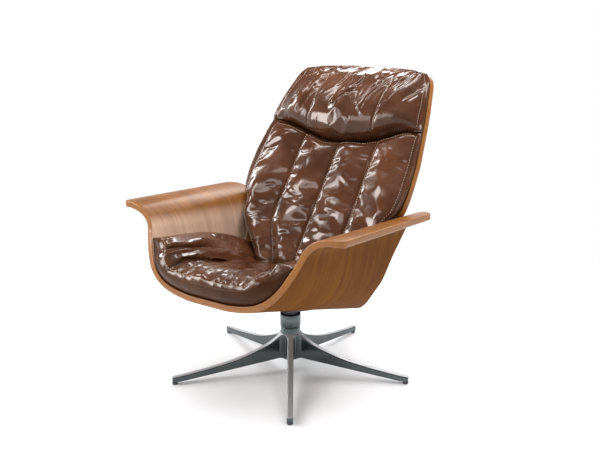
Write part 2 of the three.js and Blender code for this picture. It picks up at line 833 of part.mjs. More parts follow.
// One strip that seats a pair of springs, with a boss inside each of them
function springSeat() {
  const reach = spring_seat_reach;
  let seat_strip = solidOf(roundedPlate(spring_offset_x + reach, reach, reach - spring_seat_margin, 0,
    spring_seat_thickness));
  for (const side of [-1, 1]) {
    const boss = rod(spring_boss_radius, 0, spring_seat_thickness + spring_boss_height, small_segments);
    seat_strip = seat_strip.add(solidOf(boss.translate(side * spring_offset_x, 0, 0)));
  }
  return geometryOf(seat_strip);
}

// Springs, the strips that seat them, and the rubber stops at both ends of the bracket
function springPieces() {
  const lower_bottom = bracket_floor + seat_gap;
  const upper_top = seat_plate_underside - seat_gap;
  const spring_bottom = lower_bottom + spring_seat_thickness + seat_gap;
  const spring_top = upper_top - spring_seat_thickness - seat_gap;
  const springs = [];
  const lower_seats = [];
  const upper_seats = [];
  for (const [end, along] of [['front', -1], ['rear', 1]]) {
    const y = along * spring_offset_y;
    const lower = springSeat().translate(0, y, lower_bottom);
    const upper = springSeat().rotateY(Math.PI).translate(0, y, upper_top);
    lower_seats.push(piece(`${end}_lower_spring_seat`, lower, nylon));
    upper_seats.push(piece(`${end}_upper_spring_seat`, upper, nylon));
    for (const [hand, across] of [['right', -1], ['left', 1]]) {
      const spring = piece(`${end}_${hand}_spring`, coilSpring(spring_bottom, spring_top), zinc);
      spring.position.set(across * spring_offset_x, y, 0);
      springs.push(spring);
    }
  }
  const free = seat_plate_underside - bracket_floor;
  const bumper = (name, along, range_deg) => {
    const travel = (bumper_offset + bumper_radius) * Math.tan(THREE.MathUtils.degToRad(range_deg));
    const height = free - travel - bumper_clearance - seat_gap;
    const shape = rod(bumper_radius, lower_bottom, lower_bottom + height, small_segments);
    return piece(name, shape.translate(0, along * bumper_offset, 0), rubber);
  };
  return {
    springs,
    lower_seats,
    upper_seats,
    bumpers: [
      bumper('front_bumper', -1, lean_forward_deg),
      bumper('rear_bumper', 1, lean_back_deg),
    ],
  };
}

// Places of the four bolts through the seat plate, in the seat's slope
function plateBoltPlaces() {
  return [[-1, -1], [1, -1], [-1, 1], [1, 1]].map(([x, y]) => [x * plate_bolt_x, y * plate_bolt_y]);
}

// Bolts up through the seat plate, and the tee nuts sunk in the arm shell's floor
function plateFasteners() {
  const head_top = seat_plate_underside - seat_gap;
  const flange_top = shell_floor_rise - seat_gap;
  const flange_bottom = flange_top - tee_nut_flange_thickness;
  const list = [];
  plateBoltPlaces().forEach(([x, y], index) => {
    const bolt = turned([
      [0, head_top - bolt_head_height],
      [bolt_head_radius, head_top - bolt_head_height],
      [bolt_head_radius, head_top],
      [bolt_radius, head_top],
      [bolt_radius, flange_top],
      [0, flange_top],
    ], tiny_segments);
    const inner = bolt_radius + seat_gap;
    const outer = inner + tee_nut_wall;
    const nut = turned([
      [inner, flange_top - tee_nut_length],
      [outer, flange_top - tee_nut_length],
      [outer, flange_bottom],
      [tee_nut_flange_radius, flange_bottom],
      [tee_nut_flange_radius, flange_top],
      [inner, flange_top],
      [inner, flange_top - tee_nut_length],
    ], tiny_segments);
    list.push(piece(`seat_plate_bolt_${index + 1}`, bolt.translate(x, y, 0), zinc));
    list.push(piece(`tee_nut_${index + 1}`, nut.translate(x, y, 0), zinc));
  });
  return list;
}

// Where two straight lines in the YZ plane meet
function crossing(point_a, along_a, point_b, along_b) {
  const turn = along_a.x * along_b.y - along_a.y * along_b.x;
  const to_b = point_b.clone().sub(point_a);
  const share = (to_b.x * along_b.y - to_b.y * along_b.x) / turn;
  return point_a.clone().addScaledVector(along_a, share);
}

// The lean of the back and the slope of the seat as directions in the YZ plane
const up_back = new THREE.Vector2(Math.sin(back_lean), Math.cos(back_lean));
const behind_back = new THREE.Vector2(Math.cos(back_lean), -Math.sin(back_lean));
const down_floor = new THREE.Vector2(Math.cos(seat_slope), -Math.sin(seat_slope));
const above_floor = new THREE.Vector2(Math.sin(seat_slope), Math.cos(seat_slope));
const back_foot = new THREE.Vector2(back_foot_reach, back_foot_height);
const floor_origin = new THREE.Vector2(0, pivot_height).addScaledVector(above_floor, shell_floor_rise);

// Corner where a plane behind the back shell meets a plane above the arm shell's floor
function bracketCorner(behind, above) {
  const on_back = back_foot.clone().addScaledVector(behind_back, behind);
  const on_floor = floor_origin.clone().addScaledVector(above_floor, above);
  return crossing(on_back, up_back, on_floor, down_floor);
}

const pad_front = back_ply_thickness + seat_gap;
const bracket_front = pad_front + back_pad_thickness + seat_gap;
const bracket_heel = bracketCorner(bracket_front, seat_gap);

// Distance along the back's lean from the shell's foot to a point of the YZ plane
const alongBack = (point) => point.clone().sub(back_foot).dot(up_back);

const bracket_sides = [[-1, 'right'], [1, 'left']];

// Places of the two screws of one bracket, along the back's lean
function backScrewPlaces() {
  const top = alongBack(bracket_heel) + back_bracket_leg - back_screw_margin;
  return [top, top - back_screw_pitch];
}

// Places of the bolts of both brackets, in the seat's slope
function bracketBoltPlaces() {
  const heel = bracket_heel.clone().sub(new THREE.Vector2(0, pivot_height)).dot(down_floor);
  const y = heel + back_bracket_foot - bracket_bolt_inset;
  const places = [];
  for (const [side] of bracket_sides) {
    for (const end of [-1, 1]) {
      places.push([side * back_bracket_spacing / 2 + end * bracket_bolt_pitch / 2, y]);
    }
  }
  return places;
}

// Bent steel brackets behind the back shell, each with a rubber pad, screws and bolts
function backBrackets() {
  const gauge = back_bracket_gauge;
  const heel_inside = bracketCorner(bracket_front + gauge, seat_gap + gauge);
  const leg_end = bracket_heel.clone().addScaledVector(up_back, back_bracket_leg);
  const foot_end = bracket_heel.clone().addScaledVector(down_floor, back_bracket_foot);
  const outline = [
    bracket_heel,
    leg_end,
    leg_end.clone().addScaledVector(behind_back, gauge),
    heel_inside,
    foot_end.clone().addScaledVector(above_floor, gauge),
    foot_end,
  ].map((point) => [point.x, point.y]);
  const pieces = [];
  const hole_radius = screw_radius + bolt_hole_margin;
  for (const [side, name] of bracket_sides) {
    const middle = side * back_bracket_spacing / 2;
    const tools = bracketBoltPlaces().map(([x, y]) => rod(bracket_bolt_radius + bolt_hole_margin,
      shell_floor_rise - cut_overrun, shell_floor_rise + gauge + cut_overrun, tiny_segments)
      .translate(x, y, 0).applyMatrix4(slope_frame));
    const pad_low = Math.max(alongBack(bracket_heel) + gauge, 0);
    const pad_high = alongBack(bracket_heel) + back_bracket_leg;
    const pad_tools = [];
    backScrewPlaces().forEach((along, index) => {
      const from = -bracket_front - gauge - cut_overrun;
      tools.push(rod(hole_radius, from, -pad_front + cut_overrun, tiny_segments)
        .rotateX(Math.PI / 2).translate(middle, 0, along).applyMatrix4(back_frame));
      pad_tools.push(rod(hole_radius, from, -pad_front + cut_overrun, tiny_segments)
        .rotateX(Math.PI / 2).translate(middle, 0, along));
      const head = bracket_front + gauge + seat_gap;
      const screw = turned([
        [0, -head - screw_head_height],
        [screw_head_radius, -head - screw_head_height],
        [screw_head_radius, -head],
        [screw_radius, -head],
        [screw_radius, -back_ply_thickness + screw_bite],
        [0, -back_ply_thickness + screw_bite],
      ], tiny_segments).rotateX(Math.PI / 2).translate(middle, 0, along).applyMatrix4(back_frame);
      pieces.push(piece(`back_screw_${name}_${index + 1}`, screw, zinc));
    });
    const bracket = cutAway(slabAcross(outline, back_bracket_width, middle), tools);
    const pad = new THREE.BoxGeometry(back_bracket_width, back_pad_thickness, pad_high - pad_low)
      .translate(middle, pad_front + back_pad_thickness / 2, (pad_high + pad_low) / 2);
    pieces.push(piece(`back_bracket_${name}`, bracket, black_steel));
    pieces.push(piece(`back_pad_${name}`, cutAway(pad, pad_tools).applyMatrix4(back_frame), rubber));
  }
  return pieces;
}

// Bolts up through the arm shell's floor and the bracket feet, into a tapped plate on each foot
function bracketFasteners() {
  const head_top = shell_underside_rise - seat_gap;
  const plate_bottom = shell_floor_rise + 2 * seat_gap + back_bracket_gauge;
  const plate_top = plate_bottom + nut_plate_thickness;
  const list = [];
  bracketBoltPlaces().forEach(([x, y], index) => {
    const bolt = turned([
      [0, head_top - bracket_bolt_head_height],
      [bracket_bolt_head_radius, head_top - bracket_bolt_head_height],
      [bracket_bolt_head_radius, head_top],
      [bracket_bolt_radius, head_top],
      [bracket_bolt_radius, plate_top],
      [0, plate_top],
    ], tiny_segments).translate(x, y, 0);
    list.push(piece(`bracket_bolt_${index + 1}`, bolt, zinc));
  });
  for (const [side, name] of bracket_sides) {
    const y = bracketBoltPlaces()[0][1];
    const plate = roundedPlate(nut_plate_half_width, nut_plate_half_length, nut_plate_corner_radius,
      plate_bottom, plate_top).translate(side * back_bracket_spacing / 2, y, 0);
    const holes = bracketBoltPlaces().map(([bolt_x, bolt_y]) => rod(bracket_bolt_radius + seat_gap,
      plate_bottom - cut_overrun, plate_top + cut_overrun, tiny_segments).translate(bolt_x, bolt_y, 0));
    list.push(piece(`nut_plate_${name}`, cutAway(plate, holes), zinc));
  }
  return list;
}

// Arm shell: one bent sheet, straight from front to back along each of its rulings
function armShell() {
  const side = (lift) => (column, row) => {
    const place = (2 * column - 1) * tip_row;
    const { front, rear } = armRow(place);
    return armPoint(place, front + (rear - front) * row, lift);
  };
  const sheet = closedSheet(2 * tip_row * shell_steps_per_row, shell_depth_steps, side(0),
    side(ply_thickness));
  const tools = [];
  const nut_radius = bolt_radius + seat_gap + tee_nut_wall + seat_gap;
  const counterbore = shell_floor_rise - 2 * seat_gap - tee_nut_flange_thickness;
  for (const [x, y] of plateBoltPlaces()) {
    tools.push(rod(nut_radius, shell_underside_rise - cut_overrun, counterbore + cut_overrun, tiny_segments)
      .translate(x, y, 0).applyMatrix4(slope_frame));
    tools.push(rod(tee_nut_flange_radius + seat_gap, counterbore, shell_floor_rise + cut_overrun,
      tiny_segments).translate(x, y, 0).applyMatrix4(slope_frame));
  }
  for (const [x, y] of bracketBoltPlaces()) {
    tools.push(rod(bracket_bolt_radius + bolt_hole_margin, shell_underside_rise - cut_overrun,
      shell_floor_rise + cut_overrun, tiny_segments).translate(x, y, 0).applyMatrix4(slope_frame));
  }
  return piece('arm_shell', cutAway(sheet, tools), walnut);
}

// Back shell: a sheet bent about its own lean, with a rounded head and foot
function backShell() {
  const rows = back_outline_shares.length - 1;
  const side = (thickness) => (column, row) => {
    const share = back_outline_shares[Math.round(row * rows)][0];
    const along = share * back_length;
    const half = backHalfWidth(along);
    const u = (2 * column - 1) * half;
    const middle = 1 - (2 * column - 1) ** 2;
    const head = smoothStep(share, back_arch_start_share, 1) * back_top_arch;
    const foot = (1 - smoothStep(share, 0, back_foot_arch_end_share)) * back_foot_arch;
    const wrap = Math.asin(u / back_curve_radius);
    return new THREE.Vector3(
      u + thickness * Math.sin(wrap),
      backFace(u) + thickness * Math.cos(wrap),
      along + (head - foot) * middle,
    );
  };
  const sheet = closedSheet(back_shell_columns, rows, side(0), side(back_ply_thickness));
  const tools = [];
  for (const [bracket_side] of bracket_sides) {
    for (const along of backScrewPlaces()) {
      tools.push(rod(screw_radius + seat_gap, -back_ply_thickness - cut_overrun,
        -back_ply_thickness + screw_bite + seat_gap, tiny_segments)
        .rotateX(Math.PI / 2).translate(bracket_side * back_bracket_spacing / 2, 0, along));
    }
  }
  return piece('back_shell', cutAway(sheet, tools).applyMatrix4(back_frame), walnut);
}

// Height of a quarter circle that starts upright at nothing and is level from one on
function quarterRound(value) {
  const turn = Math.min(value, 1);
  return Math.sqrt(turn * (2 - turn));
}

// Height of an arch that is nothing at both limits and one in their middle
function arch(value, low, high) {
  const share = THREE.MathUtils.clamp((value - low) / (high - low), 0, 1);
  return Math.sqrt(Math.sin(Math.PI * share));
}

// Depth of a sewn channel's puff: nothing on a seam, full between two seams
function channelPuff(u, spacing, half_width, seams) {
  const lines = [-half_width, ...seams.map((seam) => seam * spacing), half_width];
  const next = lines.findIndex((line) => line >= u);
  const high = lines[Math.max(next, 1)];
  const low = lines[Math.max(next, 1) - 1];
  return arch(u, low, high);
}

// Height of the crease between back and head cushions, which sags in the middle
function creaseHeight(u) {
  const out = Math.abs(u) / back_half_width;
  return crease_height + crease_lift * smoothStep(out, crease_flat_share, crease_full_share);
}

// Half width of the cushions' seam at a height up the shell
function seamHalfWidth(along, inflate) {
  const wanted = readOutline(back_cushion_shares, along / back_length) * back_half_width;
  const depth = -cushionDepth(along);
  const limit = clearOfWalls(wanted, along, depth, 0, back_side_clearance);
  return Math.min(limit, backHalfWidth(along) - back_side_clearance) + inflate;
}

// Distance of the back cushion's seams in front of the shell's middle line
const cushionDepth = (along) => back_cushion_depth_at_foot - back_cushion_taper_share * along;

// Back cushion: four upright channels between seams, tucked between the seat's bolsters
function backCushionGeometry(inflate) {
  const foot = back_cushion_foot_gap - inflate;
  const place = (column, row) => {
    const share = 2 * column - 1;
    const guess = foot + row * (crease_height + crease_lift - foot);
    const half = seamHalfWidth(guess, inflate);
    const u = share * half;
    const top = creaseHeight(u) - cushion_parting / 2 + inflate;
    const along = foot + row * (top - foot);
    return { u: share * seamHalfWidth(along, inflate), along, half: seamHalfWidth(along, inflate), top };
  };
  const front = (column, row) => {
    const { u, along, half, top } = place(column, row);
    const seams = back_channel_puff * channelPuff(u, back_channel_spacing, half, [-1, 0, 1]);
    const middle = 1 - (u / half) ** 2;
    const low_end = Math.min((along - foot) / back_end_roll, 1);
    const high_end = Math.min((top - along) / back_end_roll, 1);
    const ends = Math.sqrt(Math.max(low_end * (2 - low_end) * high_end * (2 - high_end), 0));
    const drawn = back_valley_depth * middle + back_end_draw_share * back_end_roll * (1 - ends);
    const depth = cushionDepth(along) + seams * ends - drawn + inflate;
    return new THREE.Vector3(u, -depth, along);
  };
  const back = (column, row) => {
    const { u, along } = place(column, row);
    return new THREE.Vector3(u, backFace(u) - cushion_gap + inflate, along);
  };
  return closedSheet(back_columns, back_rows, front, back);
}

// Head cushion: a fuller roll over the top of the shell, in three channels
function headCushionGeometry() {
  const top_edge = back_length + head_top_overhang;
  const place = (column, row) => {
    const share = 2 * column - 1;
    const low = creaseHeight(share * back_half_width) + cushion_parting / 2;
    const high = top_edge + back_top_arch * (1 - share * share);
    const along = low + row * (high - low);
    const flat = low + row * (top_edge - low);
    const half = seamHalfWidth(Math.min(flat, back_length), 0);
    return { u: share * half, along, half, flat };
  };
  const front = (column, row) => {
    const { u, along, half } = place(column, row);
    const seams = head_channel_puff * channelPuff(u, head_channel_spacing, half, [-1, 1]);
    const sides = smoothStep(half - Math.abs(u), 0, head_side_roll);
    const fall = head_crown_fall_share * smoothStep(row, head_crown_start_share, 1);
    const crown = quarterRound(row / head_lip_share) * (1 - fall);
    const full = head_side_swell_share + (1 - head_side_swell_share) * sides;
    const swell = (head_puff * full + seams) * crown;
    const to_shell = cushionDepth(along) - head_edge_thickness + backFace(u);
    const close = smoothStep(row, head_close_share, 1) * to_shell;
    return new THREE.Vector3(u, -cushionDepth(along) - swell + close, along);
  };
  const back = (column, row) => {
    const { u, along } = place(column, row);
    return new THREE.Vector3(u, backFace(u) - cushion_gap, along);
  };
  return closedSheet(head_columns, head_rows, front, back);
}

// Swell of the seat's middle and of each bolster, whose front is folded into two rolls
function seatPuff(out, row) {
  if (out < seat_low_fold_share) return arch(out, -seat_low_fold_share, seat_low_fold_share);
  const rolls = out < seat_high_fold_share
    ? arch(out, seat_low_fold_share, seat_high_fold_share)
    : arch(out, seat_high_fold_share, 1);
  const whole = arch(out, seat_low_fold_share, 1);
  return rolls + (whole - rolls) * smoothStep(row, seat_fold_start_share, seat_fold_end_share);
}

// Seat cushion: it follows the arm shell's floor and climbs its walls in two bolsters
function seatCushionGeometry() {
  const rearY = (place, lift) => {
    let y = 0;
    for (let step = 0; step < settling_steps; step += 1) {
      const point = armPoint(place, y, lift);
      const along = (point.z - back_foot_height) / Math.cos(back_lean);
      y = back_foot_reach + along * Math.sin(back_lean)
        + (backFace(point.x) - cushion_parting) / Math.cos(back_lean);
    }
    return y;
  };
  const thickness = (share, row, depth) => {
    const side = quarterRound((1 - Math.abs(share)) / seat_side_roll_share);
    const crown = seat_boxing_height + seat_crown_height * quarterRound(row * depth / seat_roll_depth);
    const puff = seat_puff * seatPuff(Math.abs(share), row) * quarterRound(row * depth / seat_puff_depth);
    return seat_edge_thickness + (crown - seat_edge_thickness) * side + puff;
  };
  const depth = shell_front_reach + back_foot_reach;
  const side = (top) => (column, row) => {
    const share = 2 * column - 1;
    const place = share * tip_row * (seat_edge_share + seat_bolster_share * Math.sin(Math.PI * row));
    const base = ply_thickness + cushion_gap;
    const lift = base + (top ? thickness(share, row, depth) : 0);
    const out = Math.abs(share);
    const nose = seat_front_overhang * (1 - smoothStep(out, seat_nose_share, seat_nose_end_share));
    const ahead = top ? nose : -seat_boxing_setback;
    const behind = (top ? seat_side_setback : 0) * smoothStep(out, seat_setback_share, 1);
    const front = armRow(place).front - ahead + behind;
    const rear = rearY(place, lift);
    return armPoint(place, front + (rear - front) * row, lift);
  };
  return closedSheet(seat_columns, seat_rows, side(true), side(false));
}

// The three cushions; the seat cushion is hollowed where the back cushion sinks into it
function cushions() {
  const back_hollow = backCushionGeometry(cushion_parting).applyMatrix4(back_frame);
  return [
    piece('seat_cushion', cutAway(seatCushionGeometry(), [back_hollow]), leather),
    piece('back_cushion', backCushionGeometry(0).applyMatrix4(back_frame), leather),
    piece('head_cushion', headCushionGeometry().applyMatrix4(back_frame), leather),
  ];
}

// Puts pieces that were drawn in the seat's slope at the pivot
function atPivot(list) {
  const group = new THREE.Group();
  group.rotation.x = -seat_slope;
  group.position.z = pivot_height;
  group.add(...list);
  return group;
}

const bearing = bearingPieces();
const pivot = pivotPieces();
const rocker = springPieces();

const base = new THREE.Group();
base.add(baseCasting(), ...glides(), hubCollar(), ...bearing.still);

const swivel = new THREE.Group();
swivel.add(...bearing.turning, ...spindlePieces(bearing.shoulder));
swivel.add(atPivot([
  rockerBracket(), ...pivot.turning, ...rocker.lower_seats, ...rocker.springs, ...rocker.bumpers,
]));

const seat = new THREE.Group();
seat.add(atPivot([
  seatPlate(), ...pivot.bushes, ...rocker.upper_seats, ...plateFasteners(), ...bracketFasteners(),
]));
seat.add(armShell(), backShell(), ...backBrackets(), ...cushions());

// The origin lies on the floor under the middle of the whole chair's box
const chair = new THREE.Group();
chair.add(base, swivel, seat);
const box = new THREE.Box3().setFromObject(chair, true);
chair.position.y = -(box.min.y + box.max.y) / 2;

export default chair;
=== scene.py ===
"""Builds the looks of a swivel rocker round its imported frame: run as a script, or read as an add-on."""
import json
import math

import bmesh
import bpy
import numpy as np
from bpy.props import FloatProperty, FloatVectorProperty, IntProperty, PointerProperty
from bpy.types import Operator, Panel, PropertyGroup
from mathutils import Matrix, Vector

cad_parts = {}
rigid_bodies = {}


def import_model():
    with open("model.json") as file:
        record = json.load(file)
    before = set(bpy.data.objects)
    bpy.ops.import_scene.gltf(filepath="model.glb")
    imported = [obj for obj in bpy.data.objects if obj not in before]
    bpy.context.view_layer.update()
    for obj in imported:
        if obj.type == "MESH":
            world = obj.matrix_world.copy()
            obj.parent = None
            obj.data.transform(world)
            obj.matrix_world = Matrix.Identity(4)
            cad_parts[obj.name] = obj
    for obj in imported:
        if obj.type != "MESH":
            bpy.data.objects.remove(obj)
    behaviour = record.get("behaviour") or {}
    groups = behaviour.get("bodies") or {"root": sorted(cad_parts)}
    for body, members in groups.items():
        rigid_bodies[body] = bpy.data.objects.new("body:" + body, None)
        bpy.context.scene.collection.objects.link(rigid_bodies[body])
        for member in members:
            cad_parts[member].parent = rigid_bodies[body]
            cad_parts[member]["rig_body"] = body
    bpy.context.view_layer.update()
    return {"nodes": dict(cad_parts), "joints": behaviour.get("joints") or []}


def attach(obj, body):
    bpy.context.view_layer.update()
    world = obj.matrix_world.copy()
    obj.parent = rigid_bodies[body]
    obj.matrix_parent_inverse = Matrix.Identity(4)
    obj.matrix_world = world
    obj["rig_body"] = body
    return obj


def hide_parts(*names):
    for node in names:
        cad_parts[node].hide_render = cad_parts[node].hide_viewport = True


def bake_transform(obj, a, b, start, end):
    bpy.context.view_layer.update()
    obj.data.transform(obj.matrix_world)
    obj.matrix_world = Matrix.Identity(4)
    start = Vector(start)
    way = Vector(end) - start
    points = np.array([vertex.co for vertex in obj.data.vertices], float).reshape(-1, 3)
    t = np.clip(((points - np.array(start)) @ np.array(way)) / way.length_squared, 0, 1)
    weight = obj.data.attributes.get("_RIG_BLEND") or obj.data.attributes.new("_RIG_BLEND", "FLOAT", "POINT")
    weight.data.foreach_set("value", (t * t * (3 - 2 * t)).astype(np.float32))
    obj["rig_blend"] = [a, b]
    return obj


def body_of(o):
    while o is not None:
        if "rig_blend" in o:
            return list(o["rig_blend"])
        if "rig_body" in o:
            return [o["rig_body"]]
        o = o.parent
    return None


bl_info = {
    "name": "Swivel Rocker",
    "version": (1, 0, 0),
    "blender": (4, 5, 0),
    "location": "View3D > Sidebar > Swivel Rocker",
    "description": "Builds a moulded plywood swivel rocker with leather cushions round its frame",
    "category": "Add Mesh",
}

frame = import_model()
PIVOT = Vector(next(j["pos_m"] for j in frame["joints"] if j["name"] == "seat_rock"))
POST = np.array((0.0, PIVOT.y, 0.0))
FORWARDS, UPWARDS = (0, -1, 0), (0, 0, 1)

# Half of the arm shell's front edge, from the middle out to the armrest's tip: across, up,
# forward, back, and how far the shell falls for each unit that it runs back
ARM_SHELL_SHARES = np.array((
    (0.000, 0.000, 1.000, 0.635, 0.240),
    (0.143, 0.000, 1.000, 0.635, 0.240),
    (0.263, 0.016, 0.993, 0.612, 0.248),
    (0.359, 0.046, 0.988, 0.590, 0.262),
    (0.428, 0.085, 0.983, 0.566, 0.278),
    (0.493, 0.145, 0.976, 0.542, 0.290),
    (0.560, 0.242, 0.961, 0.502, 0.290),
    (0.605, 0.335, 0.942, 0.474, 0.290),
    (0.636, 0.423, 0.920, 0.488, 0.290),
    (0.663, 0.520, 0.898, 0.550, 0.285),
    (0.689, 0.617, 0.871, 0.624, 0.250),
    (0.708, 0.705, 0.850, 0.738, 0.190),
    (0.7225, 0.780, 0.8325, 0.905, 0.125),
    (0.739, 0.838, 0.823, 0.990, 0.088),
    (0.768, 0.896, 0.8155, 1.000, 0.070),
    (0.816, 0.954, 0.813, 1.000, 0.062),
    (0.873, 0.985, 0.811, 1.000, 0.057),
    (0.938, 1.000, 0.809, 1.000, 0.052),
    (1.000, 1.000, 0.808, 1.000, 0.050),
))
TIP_ROW = len(ARM_SHELL_SHARES) - 1

# Half of the back shell's outline, and of the back cushions' seam: share of its length, share of its half width
BACK_OUTLINE_SHARES = np.array((
    (0.000, 0.310), (0.012, 0.525), (0.030, 0.633), (0.054, 0.716), (0.090, 0.772),
    (0.140, 0.812), (0.215, 0.857), (0.279, 0.870), (0.324, 0.920), (0.347, 0.951),
    (0.381, 0.981), (0.458, 0.997), (0.547, 0.994), (0.633, 0.969), (0.732, 0.935),
    (0.808, 0.904), (0.872, 0.870), (0.931, 0.838), (0.956, 0.815), (0.975, 0.780),
    (0.988, 0.735), (0.996, 0.675), (1.000, 0.600),
))
CUSHION_OUTLINE_SHARES = np.array((
    (0.000, 0.310), (0.053, 0.451), (0.100, 0.540), (0.152, 0.651), (0.191, 0.750), (0.233, 0.812),
    (0.272, 0.840), (0.310, 0.883), (0.348, 0.926), (0.394, 0.941), (0.445, 0.948), (0.485, 0.944),
    (0.531, 0.941), (0.570, 0.935), (0.645, 0.917), (0.708, 0.895), (0.764, 0.883), (0.825, 0.864),
    (0.887, 0.827), (0.932, 0.793), (0.962, 0.765), (0.985, 0.735), (1.000, 0.600),
))

# Top edge of a leg: share of its reach out of the hub, share of its rise over the tip
LEG_TOP_SHARES = np.array((
    (0.000, 1.000), (0.033, 0.900), (0.075, 0.790), (0.123, 0.690), (0.238, 0.520),
    (0.330, 0.405), (0.427, 0.306), (0.614, 0.176), (0.781, 0.085), (0.900, 0.030), (1.000, 0.000),
))

LEGS = 5
CORNER_STEPS = 7  # points round each rounded corner of a blade

# A stitch's five rings: share of its length from its middle, of its thickness, and of its lift
STITCH_RINGS = np.array(((-0.50, 0.45, -0.55), (-0.34, 0.95, 0.15), (0.0, 1.0, 0.40),
                         (0.34, 0.95, 0.15), (0.50, 0.45, -0.55)))
STITCH_SIDES = 6

# Columns of each panel between two seams, and rows, of the sheets that the cushions start from
CHANNEL_COLUMNS, BACK_ROWS = (22, 24, 24, 22), 78
PANEL_COLUMNS, HEAD_ROWS = (24, 42, 24), 46
SEAT_COLUMNS, SEAT_ROWS = 139, 76

# Loops that close a cushion of the back: down its sides to the shell, then in over its rear face
SIDE_STEPS, REAR_STEPS = (0.06, 0.15, 0.3, 0.5, 0.75, 1.0), (0.85, 0.5, 0.15)

# The leather as cloth: it hardly stretches, bends in wide curves, and settles without swinging
LEATHER_CLOTH = {
    "quality": 6, "mass": 0.35, "tension_stiffness": 22, "compression_stiffness": 22, "shear_stiffness": 12,
    "bending_stiffness": 10.0, "tension_damping": 12, "compression_damping": 12, "shear_damping": 12,
    "air_damping": 3, "pin_stiffness": 4, "use_pressure": True,
}

# The slots of the arm shell's faces
OUTER, EDGE, INNER = 0, 1, 2


def length(name, text, default):
    """A size that a user may change, in metres."""
    return FloatProperty(name=name, description=text, default=default, min=0.0, unit="LENGTH", subtype="DISTANCE",
                         precision=4)


def share(name, text, default):
    """A plain number or share that a user may change."""
    return FloatProperty(name=name, description=text, default=default)


def colour(name, text, default):
    """A colour that a user may change, written as it looks (sRGB)."""
    return FloatVectorProperty(name=name, description=text, default=default, size=3, min=0.0, max=1.0,
                               subtype="COLOR_GAMMA")


class RockerShells(PropertyGroup):
    """Sizes of the two moulded plywood shells."""
    ply: length("Arm shell ply", "Thickness of the arm shell", 0.020)
    half_width: length("Half width", "From the middle to an armrest's tip", 0.418)
    rise: length("Rise", "From the floor of the shell's front edge to the armrests", 0.227)
    front_reach: length("Front reach", "From the post to the shell's front edge", 0.412)
    rear_reach: length("Rear reach", "From the post to the armrests' rear ends", 0.213)
    front_corner: length("Front corner", "Radius of the armrests' front corners", 0.020)
    rear_corner_width: length("Rear corner width", "Width of the armrests' rear corners", 0.090)
    rear_corner_depth: length("Rear corner depth", "Depth of the armrests' rear corners", 0.050)
    underside_rise: length("Underside rise", "From the rocking axle to the shell's underside", 0.0176)
    edge_radius: length("Edge radius", "How far the shells' edges are rounded", 0.0035)
    back_ply: length("Back shell ply", "Thickness of the back shell", 0.018)
    back_lean: FloatProperty(name="Back lean", description="Lean of the back from upright",
                             default=math.radians(32.1), unit="ROTATION", subtype="ANGLE")
    back_half_width: length("Back half width", "Half width of the back shell where it is widest", 0.324)
    back_curve: length("Back curve", "Radius that the back shell is bent to", 0.770)
    back_length: length("Back length", "Length of the back shell along its lean", 0.804)
    back_top_arch: length("Top arch", "Rise of the back shell's top edge", 0.019)
    back_foot_arch: length("Foot arch", "Drop of the back shell's bottom edge", 0.010)
    back_foot_reach: length("Back foot reach", "From the post to the back shell's foot", 0.066)
    back_foot_rise: length("Back foot rise", "From the arm shell's floor to the back shell's foot", 0.024)
    clearance: length("Clearance", "Between the back shell's sides and the arm shell's walls", 0.003)


class RockerCushions(PropertyGroup):
    """Sizes of the three leather cushions."""
    gap: length("Gap", "Between a cushion and its shell", 0.0005)
    parting: length("Parting", "Between two cushions", 0.0012)
    foot_gap: length("Foot gap", "From the back shell's foot to the back cushion", 0.019)
    depth_at_foot: length("Depth at foot", "Back cushion's seam in front of the shell at the foot", 0.105)
    taper: share("Taper", "How much the back cushion thins for each unit of height", 0.076)
    channel: length("Channel spacing", "Between two seams of the back cushion", 0.147)
    channel_puff: length("Channel puff", "Swell of each channel of the back cushion", 0.017)
    valley: length("Valley", "How far the back cushion's middle is drawn in", 0.008)
    end_roll: length("End roll", "Length over which the back cushion's ends turn in", 0.046)
    crease: length("Crease", "Height of the crease under the head cushion", 0.521)
    crease_lift: length("Crease lift", "Rise of the crease towards the sides", 0.053)
    head_channel: length("Head seam", "From the middle to a seam of the head cushion", 0.132)
    head_puff: length("Head swell", "Swell of the head cushion", 0.048)
    head_channel_puff: length("Head panel puff", "Swell of each panel of the head cushion", 0.011)
    head_overhang: length("Head overhang", "How far the head cushion tops the shell", 0.003)
    head_side_roll: length("Head side roll", "Width over which the head cushion swells from its sides", 0.110)
    head_side_swell: share("Head side swell", "Share of its swell that the head cushion has at its sides", 0.32)
    head_edge: length("Head edge", "Thickness of the head cushion's top edge", 0.015)
    boxing: length("Boxing", "Height of the seat cushion's front band", 0.043)
    crown: length("Crown", "Rise of the seat cushion behind its front seam", 0.031)
    seat_puff: length("Seat puff", "Swell of the seat's middle and of its bolsters' rolls", 0.014)
    low_fold: share("Low fold", "Share of the half width where a bolster starts", 0.357)
    high_fold: share("High fold", "Share of the half width where a bolster's front is folded", 0.800)
    overhang: length("Front overhang", "How far the seat's front seam stands ahead of the shell", 0.017)
    boxing_setback: length("Boxing setback", "How far the band's foot stands behind the shell's edge", 0.009)
    side_setback: length("Side setback", "How far the seat's bolsters start behind the shell's edge", 0.008)
    edge: length("Edge", "Thickness of the seat cushion's side edges", 0.006)
    roll: length("Roll depth", "Depth over which the seat's front rises to its crown", 0.090)
    stitch: length("Stitch", "Length of one stitch", 0.0050)
    stitch_pitch: length("Stitch pitch", "From one stitch to the next", 0.0090)
    thread: length("Thread", "Thickness of the thread", 0.0017)


